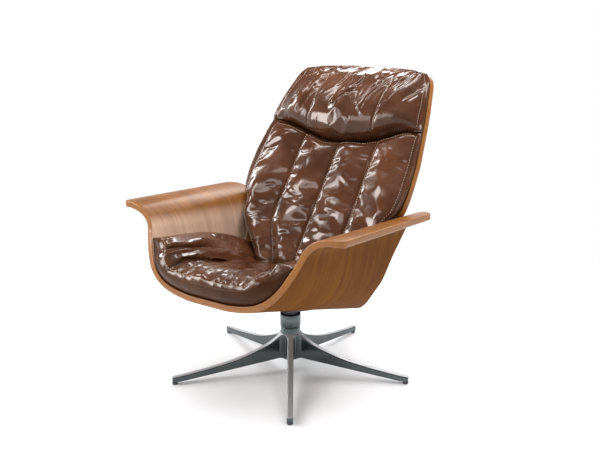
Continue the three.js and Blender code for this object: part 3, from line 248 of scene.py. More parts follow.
class RockerBase(PropertyGroup):
    """Sizes of the star base and the rocker mechanism."""
    foot_radius: length("Foot radius", "From the post to a glide", 0.395)
    leg_width: length("Leg width", "Width of a leg at the hub", 0.021)
    leg_narrowing: share("Leg narrowing", "Share of its width that a leg loses at its tip", 0.12)
    leg_end: length("Leg end", "Length of a leg past its glide", 0.009)
    leg_edge: length("Leg edge", "Radius of a leg's lower edges", 0.0026)
    leg_crown: length("Leg crown", "Radius of a leg's upper edges", 0.0045)
    leg_root: length("Leg root", "Height of a leg's top edge at the hub", 0.134)
    leg_root_foot: length("Leg root foot", "Height of a leg's underside at the hub", 0.048)
    leg_tip: length("Leg tip", "Thickness of a leg's tip", 0.018)
    fillet: length("Fillet", "Radius where a leg's sides flow into the hub", 0.011)
    hub_radius: length("Hub radius", "Radius of the hub", 0.033)
    hub_bottom: length("Hub bottom", "Height of the hub's underside", 0.045)
    hub_top: length("Hub top", "Height of the hub's top", 0.156)
    hub_bore: length("Hub bore", "Radius of the hub's bore", 0.020)
    collar_radius: length("Collar radius", "Radius of the collar", 0.035)
    collar_bore: length("Collar bore", "Radius of the collar's bore", 0.0234)
    collar_height: length("Collar height", "Height of the collar", 0.044)
    glide_radius: length("Glide radius", "Radius of a glide", 0.0095)
    glide_height: length("Glide height", "Height of a glide", 0.008)
    running_gap: length("Running gap", "Gap between two fitted pieces", 0.0003)
    spring_radius: length("Spring radius", "Radius of a spring's turns", 0.012)
    spring_wire: length("Spring wire", "Radius of a spring's wire", 0.0019)
    spring_turns: IntProperty(name="Spring turns", description="Turns of a spring", default=3, min=1)


class RockerFinishes(PropertyGroup):
    """Colours of the finishes."""
    leather: colour("Leather", "Glossy leather", (0.312, 0.180, 0.102))
    leather_dark: colour("Leather shade", "Leather in its folds", (0.230, 0.130, 0.074))
    thread: colour("Thread", "Stitching", (0.80, 0.71, 0.63))
    walnut: colour("Walnut", "Lighter grain of the veneer", (0.505, 0.310, 0.110))
    walnut_dark: colour("Walnut grain", "Darker grain of the veneer", (0.350, 0.202, 0.066))
    # The pale walnut is a painted sheen: the light that the walls' inner faces catch, laid on as a paler wood.
    sheen_walnut_tone: colour("Pale walnut", "Light streaks on the walls' inner faces", (0.82, 0.69, 0.60))
    ply_edge: colour("Ply edge", "Cut edges of the plywood", (0.59, 0.38, 0.165))
    ply_line: colour("Ply line", "Glue lines of the plywood", (0.49, 0.30, 0.125))
    metal: colour("Polished metal", "Star base and collar", (0.375, 0.40, 0.405))
    # The tone of the blades' tops is far lighter than the polished metal: partly a brushed finish, partly a painted
    # highlight where the tops catch the lamps.
    satin_highlight: colour("Satin metal", "Brushed top edges of the star base", (0.82, 0.83, 0.84))
    zinc: colour("Zinc", "Bolts and springs", (0.72, 0.73, 0.74))
    black: colour("Black steel", "Painted steel", (0.07, 0.07, 0.075))
    nylon: colour("Nylon", "Glides and bushes", (0.10, 0.10, 0.105))
    rubber: colour("Rubber", "Stops and pads", (0.06, 0.06, 0.06))


class RockerStage(PropertyGroup):
    """Camera, floor and lamps."""
    camera: FloatVectorProperty(name="Camera", description="Place of the camera", size=3, subtype="TRANSLATION",
                                unit="LENGTH", default=(1.567, -2.171, 1.200))
    aim: FloatVectorProperty(name="Aim", description="Direction that the camera looks in", size=3,
                             subtype="DIRECTION", default=(-0.564, 0.785, -0.255))
    lens: FloatProperty(name="Lens", description="Focal length", default=50.38, unit="CAMERA")
    floor: colour("Floor", "Floor and backdrop", (0.962, 0.968, 0.975))
    sky: share("Sky", "Strength of the even light from above", 0.16)
    lamps: share("Lamps", "Strength of the soft lamps", 1.0)


# Arrays and meshes

def read_rows(rows, at):
    """Values of a table between its rows: cubic pieces through every row, whose slopes are the harmonic means of
    the steps beside a row, so that they never overshoot."""
    last = len(rows) - 1
    steps = np.diff(rows, axis=0)
    product, total = steps[:-1] * steps[1:], steps[:-1] + steps[1:]
    inner = np.divide(2 * product, total, out=np.zeros_like(total), where=product > 0)
    slopes = np.concatenate((steps[:1], inner, steps[-1:]))
    at = np.clip(at, 0, last)
    here = np.minimum(at.astype(int), last - 1)
    t = (at - here)[..., None]
    step, leave, arrive = steps[here], slopes[here], slopes[here + 1]
    return rows[here] + t * (leave + t * (3 * step - 2 * leave - arrive + t * (leave + arrive - 2 * step)))


def smooth_step(value, low, high):
    """Nothing below low, one above high, and 3t^2 - 2t^3 between them."""
    t = np.clip((value - low) / (high - low), 0, 1)
    return t * t * (3 - 2 * t)


def quarter_round(t):
    """Height of a quarter circle that starts upright at t = 0 and is level from t = 1 on."""
    return np.sqrt(np.clip(1 - (1 - np.clip(t, 0, 1)) ** 2, 0, 1))


def waves(u, v, seed, shortest, longest, count=28):
    """Even random swell: the mean of sine waves with random headings, lengths between two limits and random
    starts, scaled to about -1 to 1."""
    rng = np.random.default_rng(seed)
    heading = rng.uniform(0, 2 * math.pi, count)
    number = 2 * math.pi / rng.uniform(shortest, longest, count)
    start = rng.uniform(0, 2 * math.pi, count)
    total = np.zeros(np.broadcast(u, v).shape)
    for k in range(count):
        total += np.sin(number[k] * (u * math.cos(heading[k]) + v * math.sin(heading[k])) + start[k])
    return total / math.sqrt(2 * count) * 1.4


def grid_quads(rows, columns, wrap_rows=False, wrap_columns=False, start=0):
    """Quads of a grid whose corner in row r and column c is number start + r * columns + c."""
    r, c = np.meshgrid(np.arange(rows if wrap_rows else rows - 1),
                       np.arange(columns if wrap_columns else columns - 1), indexing="ij")
    below, beside = (r + 1) % rows, (c + 1) % columns
    corners = (r * columns + c, r * columns + beside, below * columns + beside, below * columns + c)
    return start + np.stack(corners, -1).reshape(-1, 4)


def tube_faces(rows, columns):
    """Faces of a tube of closed loops: its walls, and one flat face over its first and over its last loop."""
    loop = np.arange(columns)[None, :]
    return [grid_quads(rows, columns, wrap_columns=True), loop[:, ::-1], (rows - 1) * columns + loop]


def rim_of(rows, columns):
    """Corner numbers round the edge of a grid, in order."""
    number = np.arange(rows * columns).reshape(rows, columns)
    return np.concatenate((number[0, :-1], number[:-1, -1], number[-1, :0:-1], number[:0:-1, 0]))


def outward(points, faces):
    """Turns all faces round if the closed form's volume, summed over its triangles, comes out negative."""
    volume = 0.0
    for block in faces:
        a = points[block[:, 0]]
        for k in range(1, block.shape[1] - 1):
            volume += np.einsum("ij,ij->", a, np.cross(points[block[:, k]], points[block[:, k + 1]]))
    return [block[:, ::-1] for block in faces] if volume < 0 else faces


def new_object(name, points, faces, materials, smooth=True, closed=True):
    """A mesh object at the origin from an array of points and arrays of faces."""
    points = np.asarray(points, float).reshape(-1, 3)
    faces = [np.asarray(block, int) for block in faces]
    if closed:
        faces = outward(points, faces)
    mesh = bpy.data.meshes.new(name)
    mesh.from_pydata(points.tolist(), [], [face for block in faces for face in block.tolist()])
    mesh.polygons.foreach_set("use_smooth", np.full(len(mesh.polygons), smooth))
    for look in materials if isinstance(materials, (list, tuple)) else [materials]:
        mesh.materials.append(look)
    mesh.update()
    made = bpy.data.objects.new(name, mesh)
    bpy.context.scene.collection.objects.link(made)
    return made


def set_uv(made, corner_uv, name="pattern"):
    """Gives a mesh a UV map from one pair of numbers for each of its points, in metres along and across the grain."""
    loops = np.zeros(len(made.data.loops), np.int32)
    made.data.loops.foreach_get("vertex_index", loops)
    layer = made.data.uv_layers.new(name=name)
    layer.data.foreach_set("uv", np.asarray(corner_uv, np.float32)[loops].ravel())


def set_attribute(made, name, values):
    """Gives a mesh a named number for each of its points."""
    layer = made.data.attributes.new(name, "FLOAT", "POINT")
    layer.data.foreach_set("value", np.asarray(values, np.float32).ravel())


def set_slots(made, slots):
    """Tells each face of a mesh which of its finishes it wears."""
    made.data.polygons.foreach_set("material_index", np.asarray(slots, np.int32).ravel())


def weld(made, distance=1e-6):
    """Merges a mesh's doubles and turns its faces outwards."""
    work = bmesh.new()
    work.from_mesh(made.data)
    bmesh.ops.remove_doubles(work, verts=work.verts, dist=distance)
    bmesh.ops.recalc_face_normals(work, faces=work.faces)
    work.to_mesh(made.data)
    work.free()
    made.data.update()


def place(points, matrix):
    """Points carried by a matrix."""
    matrix = np.array(matrix)
    return np.asarray(points) @ matrix[:3, :3].T + matrix[:3, 3]


def node_box(node, matrix):
    """Lowest and highest corner of a CAD node, in the frame that a matrix stands for."""
    vertices = frame["nodes"][node].data.vertices
    corner = np.zeros(len(vertices) * 3, np.float32)
    vertices.foreach_get("co", corner)
    local = place(corner.reshape(-1, 3), matrix.inverted())
    return local.min(0), local.max(0)


def lathe(rings, segments=96):
    """A closed form of revolution: rings of radius and height about Z. A ring with a third number is a polygon of
    so many sides: its radius is the cosine of half a side's angle over that of the angle from a side's middle."""
    angle = np.arange(segments) * 2 * math.pi / segments
    loops = []
    for radius, height, *sides in rings:
        reach = np.full(segments, float(radius))
        if sides:
            half = math.pi / sides[0]
            reach *= math.cos(half) / np.cos(angle % (2 * half) - half)
        loops.append(np.stack((reach * np.cos(angle), reach * np.sin(angle), np.full(segments, height)), -1))
    return np.array(loops)


def turned(name, rings, look, matrix=Matrix.Identity(4), segments=96, ring_closed=False):
    """A lathe form made a mesh, its ends closed by flat faces unless its profile is a ring."""
    if ring_closed:
        faces = [grid_quads(len(rings), segments, wrap_rows=True, wrap_columns=True)]
    else:
        faces = tube_faces(len(rings), segments)
    return new_object(name, place(lathe(rings, segments).reshape(-1, 3), matrix), faces, look)


def soften(made, angle_deg=32):
    """Smooth shading that breaks at sharp edges."""
    made.data.polygons.foreach_set("use_smooth", np.ones(len(made.data.polygons), bool))
    split = made.modifiers.new("Edge split", "EDGE_SPLIT")
    split.split_angle = math.radians(angle_deg)


# Shapes of the shells

def corner_draw(distance, width, depth):
    """How far a rounded corner draws an edge back: depth times one less a quarter ellipse."""
    inside = np.clip(1 - distance / width, 0, 1)
    return depth * (1 - np.sqrt(1 - inside ** 2))


def shell_heights(shells):
    """Height of the arm shell's underside at the post and at its front edge, and of the back shell's foot."""
    fall = ARM_SHELL_SHARES[0, 4]
    underside = PIVOT.z + shells.underside_rise / math.cos(math.atan(fall))
    foot = underside + shells.ply - fall * shells.back_foot_reach + shells.back_foot_rise
    return underside, underside + fall * shells.front_reach, foot


def arm_row(shells, at):
    """The arm shell's section at a place along its table, mirrored for places below zero."""
    across, up, forward, back, fall = np.moveaxis(read_rows(ARM_SHELL_SHARES, np.abs(at)), -1, 0)
    x = across * shells.half_width
    to_tip = shells.half_width - x
    ruled = -forward * shells.front_reach
    front = ruled + corner_draw(to_tip, shells.front_corner, shells.front_corner)
    rear = back * shells.rear_reach - corner_draw(to_tip, shells.rear_corner_width, shells.rear_corner_depth)
    return np.sign(at) * x, shell_heights(shells)[1] + up * shells.rise, front, rear, ruled, fall


def arm_point(shells, at, y, lift):
    """A point of the arm shell: straight from front to back at each place of its table, and lifted square to its
    outer face. The square direction comes from two places close beside it."""
    beside = 0.02
    x, z, _, _, ruled, fall = arm_row(shells, at)
    x0, z0, _, _, ruled0, fall0 = arm_row(shells, at - beside)
    x1, z1, _, _, ruled1, fall1 = arm_row(shells, at + beside)
    run = x1 - x0
    climb = (z1 - fall1 * (y - ruled1)) - (z0 - fall0 * (y - ruled0))
    size = np.hypot(run, climb)
    height = z - fall * (y - ruled)
    return np.stack(np.broadcast_arrays(x - lift * climb / size, y, height + lift * run / size), -1)


def inner_half_width(shells, y, z, halvings=24):
    """Half width between the arm shell's walls, found by halving a stretch of its table."""
    y, z = np.broadcast_arrays(np.asarray(y, float), np.asarray(z, float))
    low, high = np.zeros(y.shape), np.full(y.shape, float(TIP_ROW - 3))
    open_above = arm_point(shells, high, y, shells.ply)[..., 2] < z
    for _ in range(halvings):
        middle = (low + high) / 2
        under = arm_point(shells, middle, y, shells.ply)[..., 2] < z
        low, high = np.where(under, middle, low), np.where(under, high, middle)
    return np.where(open_above, np.inf, arm_point(shells, low, y, shells.ply)[..., 0])


def back_matrix(shells):
    """The back's own frame: its foot, leaning back."""
    foot = Vector((0, POST[1] + shells.back_foot_reach, shell_heights(shells)[2]))
    return Matrix.Translation(foot) @ Matrix.Rotation(-shells.back_lean, 4, "X")


def slope_matrix():
    """The mechanism's own frame: the rocking axle, tilted as the seat's floor."""
    slope = math.atan(ARM_SHELL_SHARES[0, 4])
    return Matrix.Translation(PIVOT) @ Matrix.Rotation(-slope, 4, "X")


def back_face(shells, u):
    """Depth of the back shell's front face: a parabola of the shell's bending radius."""
    return -u * u / (2 * shells.back_curve)


def clear_of_walls(shells, wanted, along, depth, thickness):
    """Limits a half width so that neither edge of a thickness reaches the arm shell's walls."""
    wrap = np.arcsin(wanted / shells.back_curve)
    limit = wanted
    lean = np.array(back_matrix(shells))
    for rear in (0.0, thickness):
        corner = place(np.stack(np.broadcast_arrays(0.0, depth + rear * np.cos(wrap), along), -1), lean)
        room = inner_half_width(shells, corner[..., 1] - POST[1], corner[..., 2])
        limit = np.minimum(limit, room - shells.clearance - rear * np.sin(wrap))
    return limit


def back_half_width(shells, along):
    """Half width of the back shell at a height along its lean."""
    wanted = np.interp(along / shells.back_length, *BACK_OUTLINE_SHARES.T) * shells.back_half_width
    return clear_of_walls(shells, wanted, along, back_face(shells, wanted), shells.back_ply)


def cushion_depth(cushions, along):
    """Distance of the back cushions' seams in front of the shell's middle line."""
    return cushions.depth_at_foot - cushions.taper * along


def seam_half_width(shells, cushions, along):
    """Half width of the back cushions' outer seam at a height."""
    shares = np.clip(along / shells.back_length, 0, 1)
    wanted = np.interp(shares, *CUSHION_OUTLINE_SHARES.T) * shells.back_half_width
    limit = clear_of_walls(shells, wanted, along, -cushion_depth(cushions, along), 0.0)
    return np.minimum(limit, back_half_width(shells, along) - shells.clearance)


def crease_height(shells, cushions, u):
    """Height of the crease under the head cushion, which sags in the middle."""
    sag_end, lift_end = 0.12, 0.86
    return cushions.crease + cushions.crease_lift * smooth_step(np.abs(u) / shells.back_half_width, sag_end, lift_end)


# Soft forms

def refine(grid, times=2):
    """A finer grid through the same points, by Catmull-Rom cubics along one way and then the other."""
    for axis in (0, 1):
        work = np.moveaxis(grid, axis, 0)
        padded = np.concatenate((2 * work[:1] - work[1:2], work, 2 * work[-1:] - work[-2:-1]))
        spans = len(work) - 1
        at = np.arange(spans * times + 1) / times
        here = np.minimum(at.astype(int), spans - 1)
        t = (at - here).reshape(-1, *([1] * (work.ndim - 1)))
        a, b, c, d = (padded[here + k] for k in range(4))
        work = b + t / 2 * (c - a + t * (2 * a - 5 * b + 4 * c - d + t * (3 * (b - c) + d - a)))
        grid = np.moveaxis(work, 0, axis)
    return grid


def grid_normals(grid, front):
    """Unit normals of a grid, on the side that faces the front: the cross product of its two directions, a step to
    each side."""
    normal = np.cross(np.gradient(grid, axis=1), np.gradient(grid, axis=0))
    normal /= np.maximum(np.linalg.norm(normal, axis=-1, keepdims=True), 1e-12)
    return -normal if normal.reshape(-1, 3).sum(0) @ np.array(front) < 0 else normal


def swell(name, sheet, seams, front, pressure, slack, cap, frames=20):
    """Blows a sheet of leather up as cloth: held along its edges and its seams' columns, cut larger than its place by
    the slack, with even pressure behind it. No point moves further than the cap. Returns the new points."""
    corner, quads = sheet.reshape(-1, 3), grid_quads(*sheet.shape[:2])
    facing = np.cross(corner[quads[:, 1]] - corner[quads[:, 0]], corner[quads[:, 3]] - corner[quads[:, 0]]).sum(0)
    if facing @ np.array(front) < 0:
        quads = quads[:, ::-1]
    made = new_object(name, corner, [quads], [], closed=False)
    pinned = np.zeros(sheet.shape[:2], bool)
    pinned[:, seams] = pinned[0] = pinned[-1] = True
    group = made.vertex_groups.new(name="pin")
    group.add(np.flatnonzero(pinned).tolist(), 1.0, "REPLACE")
    cloth = made.modifiers.new("Cloth", "CLOTH")
    settings = {**LEATHER_CLOTH, "vertex_group_mass": group.name, "shrink_min": -slack,
                "uniform_pressure_force": pressure}
    for key, value in settings.items():
        setattr(cloth.settings, key, value)
    cloth.settings.effector_weights.gravity = 0
    cloth.collision_settings.use_collision = False
    cloth.collision_settings.use_self_collision = False
    cloth.point_cache.frame_start, cloth.point_cache.frame_end = 1, frames
    scene = bpy.context.scene
    for number in range(1, frames + 1):
        scene.frame_set(number)
    moved = np.zeros(corner.size, np.float32)
    shown = made.evaluated_get(bpy.context.evaluated_depsgraph_get()).to_mesh()
    shown.vertices.foreach_get("co", moved)
    mesh = made.data
    bpy.data.objects.remove(made)
    bpy.data.meshes.remove(mesh)
    scene.frame_set(1)
    step = moved.reshape(-1, 3).astype(float) - corner
    far = np.linalg.norm(step, axis=-1, keepdims=True)
    step *= np.minimum(1, cap / np.maximum(far, 1e-9))
    return (corner + step).reshape(sheet.shape)


def close_form(front, rings, centre):
    """Points and faces of a closed form: a grid, loops that run on from its rim, and a last point."""
    rows, columns = front.shape[:2]
    rim = rim_of(rows, columns)
    points = [front.reshape(-1, 3)] + list(rings) + [np.asarray(centre)[None]]
    faces = [grid_quads(rows, columns)]
    here, count = rim, len(rim)
    start = rows * columns
    for _ in rings:
        following = start + np.arange(count)
        faces.append(np.stack((np.roll(here, -1), here, following, np.roll(following, -1)), -1))
        here, start = following, start + count
    fan = np.stack((np.roll(here, -1), here, np.full(count, start)), -1)
    return np.concatenate(points), faces + [fan]


def stitch(node, sheet, front, seams, cushions, matrix, slant=0.12):
    """Stitches a cushion's sheet along its seams, each given as the rows and columns that it runs through: at an even
    pitch, one short closed tube each, arched over the leather so that its ends dip in."""
    normals, turn = grid_normals(sheet, front), np.array(matrix)[:3, :3]
    middles, alongs, ups = [], [], []
    for seam in seams:
        path, normal = place(sheet[seam], matrix), normals[seam] @ turn.T
        run = np.concatenate(((0.0,), np.cumsum(np.linalg.norm(np.diff(path, axis=0), axis=-1))))
        count = int(run[-1] / cushions.stitch_pitch)
        spots = (np.arange(count) + 0.5) * run[-1] / count
        at = [np.stack([np.interp(spots + shift, run, path[:, k]) for k in range(3)], -1)
              for shift in (-cushions.stitch / 2, 0.0, cushions.stitch / 2)]
        along = at[2] - at[0]
        up = np.stack([np.interp(spots, run, normal[:, k]) for k in range(3)], -1)
        along /= np.linalg.norm(along, axis=-1, keepdims=True)
        up /= np.linalg.norm(up, axis=-1, keepdims=True)
        middles.append(at[1])
        alongs.append(along + slant * np.cross(up, along))
        ups.append(up)
    middle, along, up = (np.concatenate(x)[:, None, None] for x in (middles, alongs, ups))
    across = np.cross(along, up)
    sizes = np.array((cushions.stitch, cushions.thread / 2, cushions.thread))
    reach, thick, lift = (STITCH_RINGS * sizes).T[:, None, :, None, None]
    angle = (np.arange(STITCH_SIDES) * 2 * math.pi / STITCH_SIDES)[None, None, :, None]
    points = middle + along * reach + up * (lift + thick * np.sin(angle)) + across * thick * np.cos(angle)
    starts = (np.arange(len(middle)) * len(STITCH_RINGS) * STITCH_SIDES)[:, None, None]
    faces = [(block[None] + starts).reshape(-1, block.shape[1])
             for block in tube_faces(len(STITCH_RINGS), STITCH_SIDES)]
    made = new_object(f"{node}_stitching", points, faces, finish("thread"))
    stands_for(made, "seat", "brown_leather")


# Finishes

def add(tree, kind, sockets=None, **settings):
    """Adds a node with its settings, and its sockets, each a value or another node's output."""
    made = tree.nodes.new(kind)
    for name, value in settings.items():
        setattr(made, name, value)
    for key, value in (sockets or {}).items():
        if isinstance(value, bpy.types.NodeSocket):
            tree.links.new(value, made.inputs[key])
        else:
            made.inputs[key].default_value = value
    return made


def linear(tone, shade=1.0):
    """A colour as light, from the colour as it looks times a shade."""
    tone = shade * np.array(tone[:])
    return (*np.where(tone <= 0.04045, tone / 12.92, ((tone + 0.055) / 1.055) ** 2.4).tolist(), 1.0)


def scaled(light, factor):
    """A colour's light times a factor."""
    return (*(factor * value for value in light[:3]), 1.0)


def start_finish(name, sockets):
    """A new material with its shader's plain values, its shader and its tree."""
    made = bpy.data.materials.new(name)
    made.use_nodes = True
    shader = made.node_tree.nodes["Principled BSDF"]
    for key, value in sockets.items():
        shader.inputs[key].default_value = value
    return made, shader, made.node_tree


def between(tree, factor, low, high):
    """A colour between two, each plain or another node's output, by a factor."""
    return add(tree, "ShaderNodeMix", {0: factor, 6: low, 7: high}, data_type="RGBA").outputs[2]


def span(tree, value, low, high, to_low, to_high):
    """A value moved from one range to another."""
    return add(tree, "ShaderNodeMapRange", {0: value, 1: low, 2: high, 3: to_low, 4: to_high}).outputs[0]


def combine(tree, operation, first, second=0.5):
    """The sum, product or other function of two values."""
    return add(tree, "ShaderNodeMath", {0: first, 1: second}, operation=operation).outputs[0]


def object_place(tree):
    """Where a point of the surface is on the object."""
    return add(tree, "ShaderNodeTexCoord").outputs["Object"]


def pattern_place(tree, along, across):
    """Where a point of the surface is on the piece's own pattern, stretched along and across its grain."""
    uv = add(tree, "ShaderNodeUVMap", uv_map="pattern").outputs[0]
    return add(tree, "ShaderNodeMapping", {"Vector": uv, "Scale": (along, across, 1.0)}).outputs[0]


def noise(tree, vector, scale=1.0, detail=3.0, roughness=0.5, distortion=0.0):
    """Value of a noise pattern."""
    return add(tree, "ShaderNodeTexNoise", {"Vector": vector, "Scale": scale, "Detail": detail,
                                            "Roughness": roughness, "Distortion": distortion}).outputs["Fac"]


def bump(tree, shader, height, distance, strength=1.0, under=None):
    """Bumps a shader's normal by a height, over another bump if there is one."""
    sockets = {"Height": height, "Distance": distance, "Strength": strength}
    if under is not None:
        sockets["Normal"] = under
    made = add(tree, "ShaderNodeBump", sockets)
    tree.links.new(made.outputs[0], shader.inputs["Normal"])
    return made.outputs[0]


def leather_finish(name, finishes, gloss=1.0):
    """Glossy leather: two browns in soft clouds, a fine pebble and faint creases in its bump, uneven polish. With
    less gloss it is also darker, as on the bands along a cushion's sides: that darker base colour is painted shade."""
    made, shader, tree = start_finish(name, {
        "IOR": 1.5, "Specular IOR Level": 0.42 * gloss, "Specular Tint": (1.0, 0.88, 0.82, 1.0),
        "Coat Weight": 0.3 * gloss, "Coat Roughness": 0.07})
    spot = object_place(tree)
    clouds = noise(tree, spot, scale=9.0, detail=4.0, roughness=0.55)
    polish = noise(tree, spot, scale=15.0)
    pebble = add(tree, "ShaderNodeTexVoronoi", {"Vector": spot, "Scale": 620.0, "Randomness": 1.0},
                 feature="SMOOTH_F1").outputs["Distance"]
    crease = noise(tree, spot, scale=75.0, detail=5.0, roughness=0.6, distortion=0.6)
    # Less gloss also darkens the base colour: painted shade on the bands along the cushions' sides.
    shade, dull = 0.93 + 0.07 * gloss, 0.22 * (1 - gloss)
    tone = between(tree, span(tree, clouds, 0.35, 0.7, 0.0, 1.0), linear(finishes.leather_dark, shade),
                   linear(finishes.leather, shade))
    tree.links.new(tone, shader.inputs["Base Color"])
    tree.links.new(span(tree, polish, 0.35, 0.65, 0.13 + dull, 0.30 + dull), shader.inputs["Roughness"])
    pebbled = bump(tree, shader, pebble, 0.00012, 0.5)
    bump(tree, shader, crease, 0.00012, 0.5, pebbled)
    return made


def thread_finish(name, finishes):
    """Twisted thread: a light brown with a fine rib."""
    made, shader, tree = start_finish(name, {"Roughness": 0.6})
    rib = noise(tree, object_place(tree), scale=1500.0, detail=2.0)
    light = linear(finishes.thread)
    tree.links.new(between(tree, rib, scaled(light, 0.55), light), shader.inputs["Base Color"])
    bump(tree, shader, rib, 0.0002)
    return made


def veneer_finish(name, finishes, gloss):
    """Walnut veneer, its grain along the pattern's first direction: long cloudy figure, narrow streaks, and dark
    short pores that also dent the lacquer. Where the attribute pale is high, a paler wood is painted on: a painted
    sheen where the walls' inner faces catch the light."""
    made, shader, tree = start_finish(name, {
        "IOR": 1.45, "Specular IOR Level": 0.26 * gloss, "Specular Tint": (1.0, 0.84, 0.66, 1.0),
        "Coat Weight": 0.14 * gloss, "Coat Roughness": 0.24})
    figure = noise(tree, pattern_place(tree, 2.8, 22.0), detail=4.0, roughness=0.55, distortion=1.2)
    streak = noise(tree, pattern_place(tree, 12.0, 200.0), detail=5.0, roughness=0.62, distortion=0.3)
    pores = noise(tree, pattern_place(tree, 50.0, 1100.0), detail=2.0)
    grain = span(tree, combine(tree, "ADD", figure, streak), 0.70, 1.30, 0.0, 1.0)
    pit = span(tree, pores, 0.60, 0.70, 0.0, 0.45)
    dark = linear(finishes.walnut_dark)
    wood = between(tree, pit, between(tree, grain, dark, linear(finishes.walnut)), scaled(dark, 0.45))
    # Painted sheen: a paler walnut, still with its grain, laid where the attribute pale is high.
    painted_sheen_wood = between(tree, grain, linear(finishes.sheen_walnut_tone, 0.84), linear(finishes.sheen_walnut_tone))
    pale = add(tree, "ShaderNodeAttribute", attribute_name="pale").outputs["Fac"]
    tree.links.new(between(tree, pale, wood, painted_sheen_wood), shader.inputs["Base Color"])
    dull = 0.16 * (1 - gloss)
    tree.links.new(span(tree, streak, 0.3, 0.7, 0.29 + dull, 0.40 + dull), shader.inputs["Roughness"])
    bump(tree, shader, pit, 0.00012, 0.6)
    return made


def ply_edge_finish(name, finishes, layer=0.0028):
    """Lacquered ply edge: thin glue lines parallel to the faces, a sine of the lift over a layer's thickness, over an
    even warm wood."""
    made, shader, tree = start_finish(name, {"Roughness": 0.42, "IOR": 1.45, "Specular IOR Level": 0.25,
                                             "Coat Weight": 0.55, "Coat Roughness": 0.18})
    lift = add(tree, "ShaderNodeAttribute", attribute_name="lift").outputs["Fac"]
    line = combine(tree, "SINE", combine(tree, "MULTIPLY", lift, 2 * math.pi / layer))
    specks = noise(tree, pattern_place(tree, 60.0, 60.0), detail=4.0, roughness=0.6)
    weight = combine(tree, "ADD", span(tree, line, 0.2, 1.0, 0.0, 0.55), span(tree, specks, 0.3, 0.7, 0.0, 0.5))
    tree.links.new(between(tree, weight, linear(finishes.ply_edge), linear(finishes.ply_line)),
                   shader.inputs["Base Color"])
    bump(tree, shader, line, 0.00008, 0.5)
    return made


def metal_finish(name, tone, smooth, rough, scale=180.0, dent=0.00004, metallic=1.0):
    """Bare metal: an even tone, with uneven polish and a faint unevenness in its surface."""
    made, shader, tree = start_finish(name, {"Metallic": metallic})
    wear = noise(tree, object_place(tree), scale, detail=5.0, roughness=0.6)
    tree.links.new(span(tree, wear, 0.3, 0.7, smooth, rough), shader.inputs["Roughness"])
    tree.links.new(between(tree, span(tree, wear, 0.3, 0.75, 0.0, 1.0), linear(tone, 0.88), linear(tone)),
                   shader.inputs["Base Color"])
    bump(tree, shader, wear, dent, 0.5)
    return made


def moulded_finish(name, tone, roughness, scale, dent):
    """Paint, nylon or rubber: a dull tone with a fine textured skin."""
    made, shader, tree = start_finish(name, {})
    skin = noise(tree, object_place(tree), scale, detail=4.0, roughness=0.6)
    base = linear(tone)
    tree.links.new(between(tree, skin, base, scaled(base, 1.35)), shader.inputs["Base Color"])
    tree.links.new(span(tree, skin, 0.3, 0.7, roughness - 0.06, roughness + 0.06), shader.inputs["Roughness"])
    bump(tree, shader, skin, dent, 0.6)
    return made


def finish(name):
    """A finish by its name, made when it is first asked for."""
    made = bpy.data.materials.get(name)
    if made:
        return made
    tones = bpy.context.scene.rocker_finishes
    recipes = {
        "leather": lambda: leather_finish(name, tones),
        "leather_band": lambda: leather_finish(name, tones, gloss=0.2),
        "thread": lambda: thread_finish(name, tones),
        "veneer": lambda: veneer_finish(name, tones, gloss=1.0),
        "veneer_outer": lambda: veneer_finish(name, tones, gloss=0.1),
        "ply_edge": lambda: ply_edge_finish(name, tones),
        "polished": lambda: metal_finish(name, tones.metal, smooth=0.12, rough=0.22),
        # Satin tops: rougher and only part metal, in a far lighter tone that is a painted highlight.
        "satin_highlight": lambda: metal_finish(name, tones.satin_highlight, smooth=0.34, rough=0.42, scale=600.0, dent=0.000004,
                                      metallic=0.6),
        "zinc": lambda: metal_finish(name, tones.zinc, smooth=0.28, rough=0.42, scale=900.0),
        "black": lambda: moulded_finish(name, tones.black, roughness=0.45, scale=1400.0, dent=0.00005),
        "nylon": lambda: moulded_finish(name, tones.nylon, roughness=0.5, scale=1800.0, dent=0.00003),
        "rubber": lambda: moulded_finish(name, tones.rubber, roughness=0.75, scale=900.0, dent=0.0001),
    }
    return recipes[name]()


def dress(names, look):
    """Gives CAD nodes their finish and smooth shading."""
    for name in names:
        node = frame["nodes"][name]
        node.data.materials.clear()
        node.data.materials.append(finish(look))
        join = node.modifiers.new("Weld", "WELD")
        join.merge_threshold = 0.00001
        soften(node)


def stands_for(made, body, slot_name, *nodes):
    """A new piece rides on a body and stands for CAD nodes, which it hides."""
    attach(made, body)
    if nodes:
        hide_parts(*nodes)
    return made


class PieceOperator(Operator):
    """Shared settings of the pieces' operators."""
    bl_options = {"REGISTER", "UNDO"}


def leg_angle(leg):
    """Where a leg points, counted round from straight behind."""
    return math.pi / 2 + leg * 2 * math.pi / LEGS


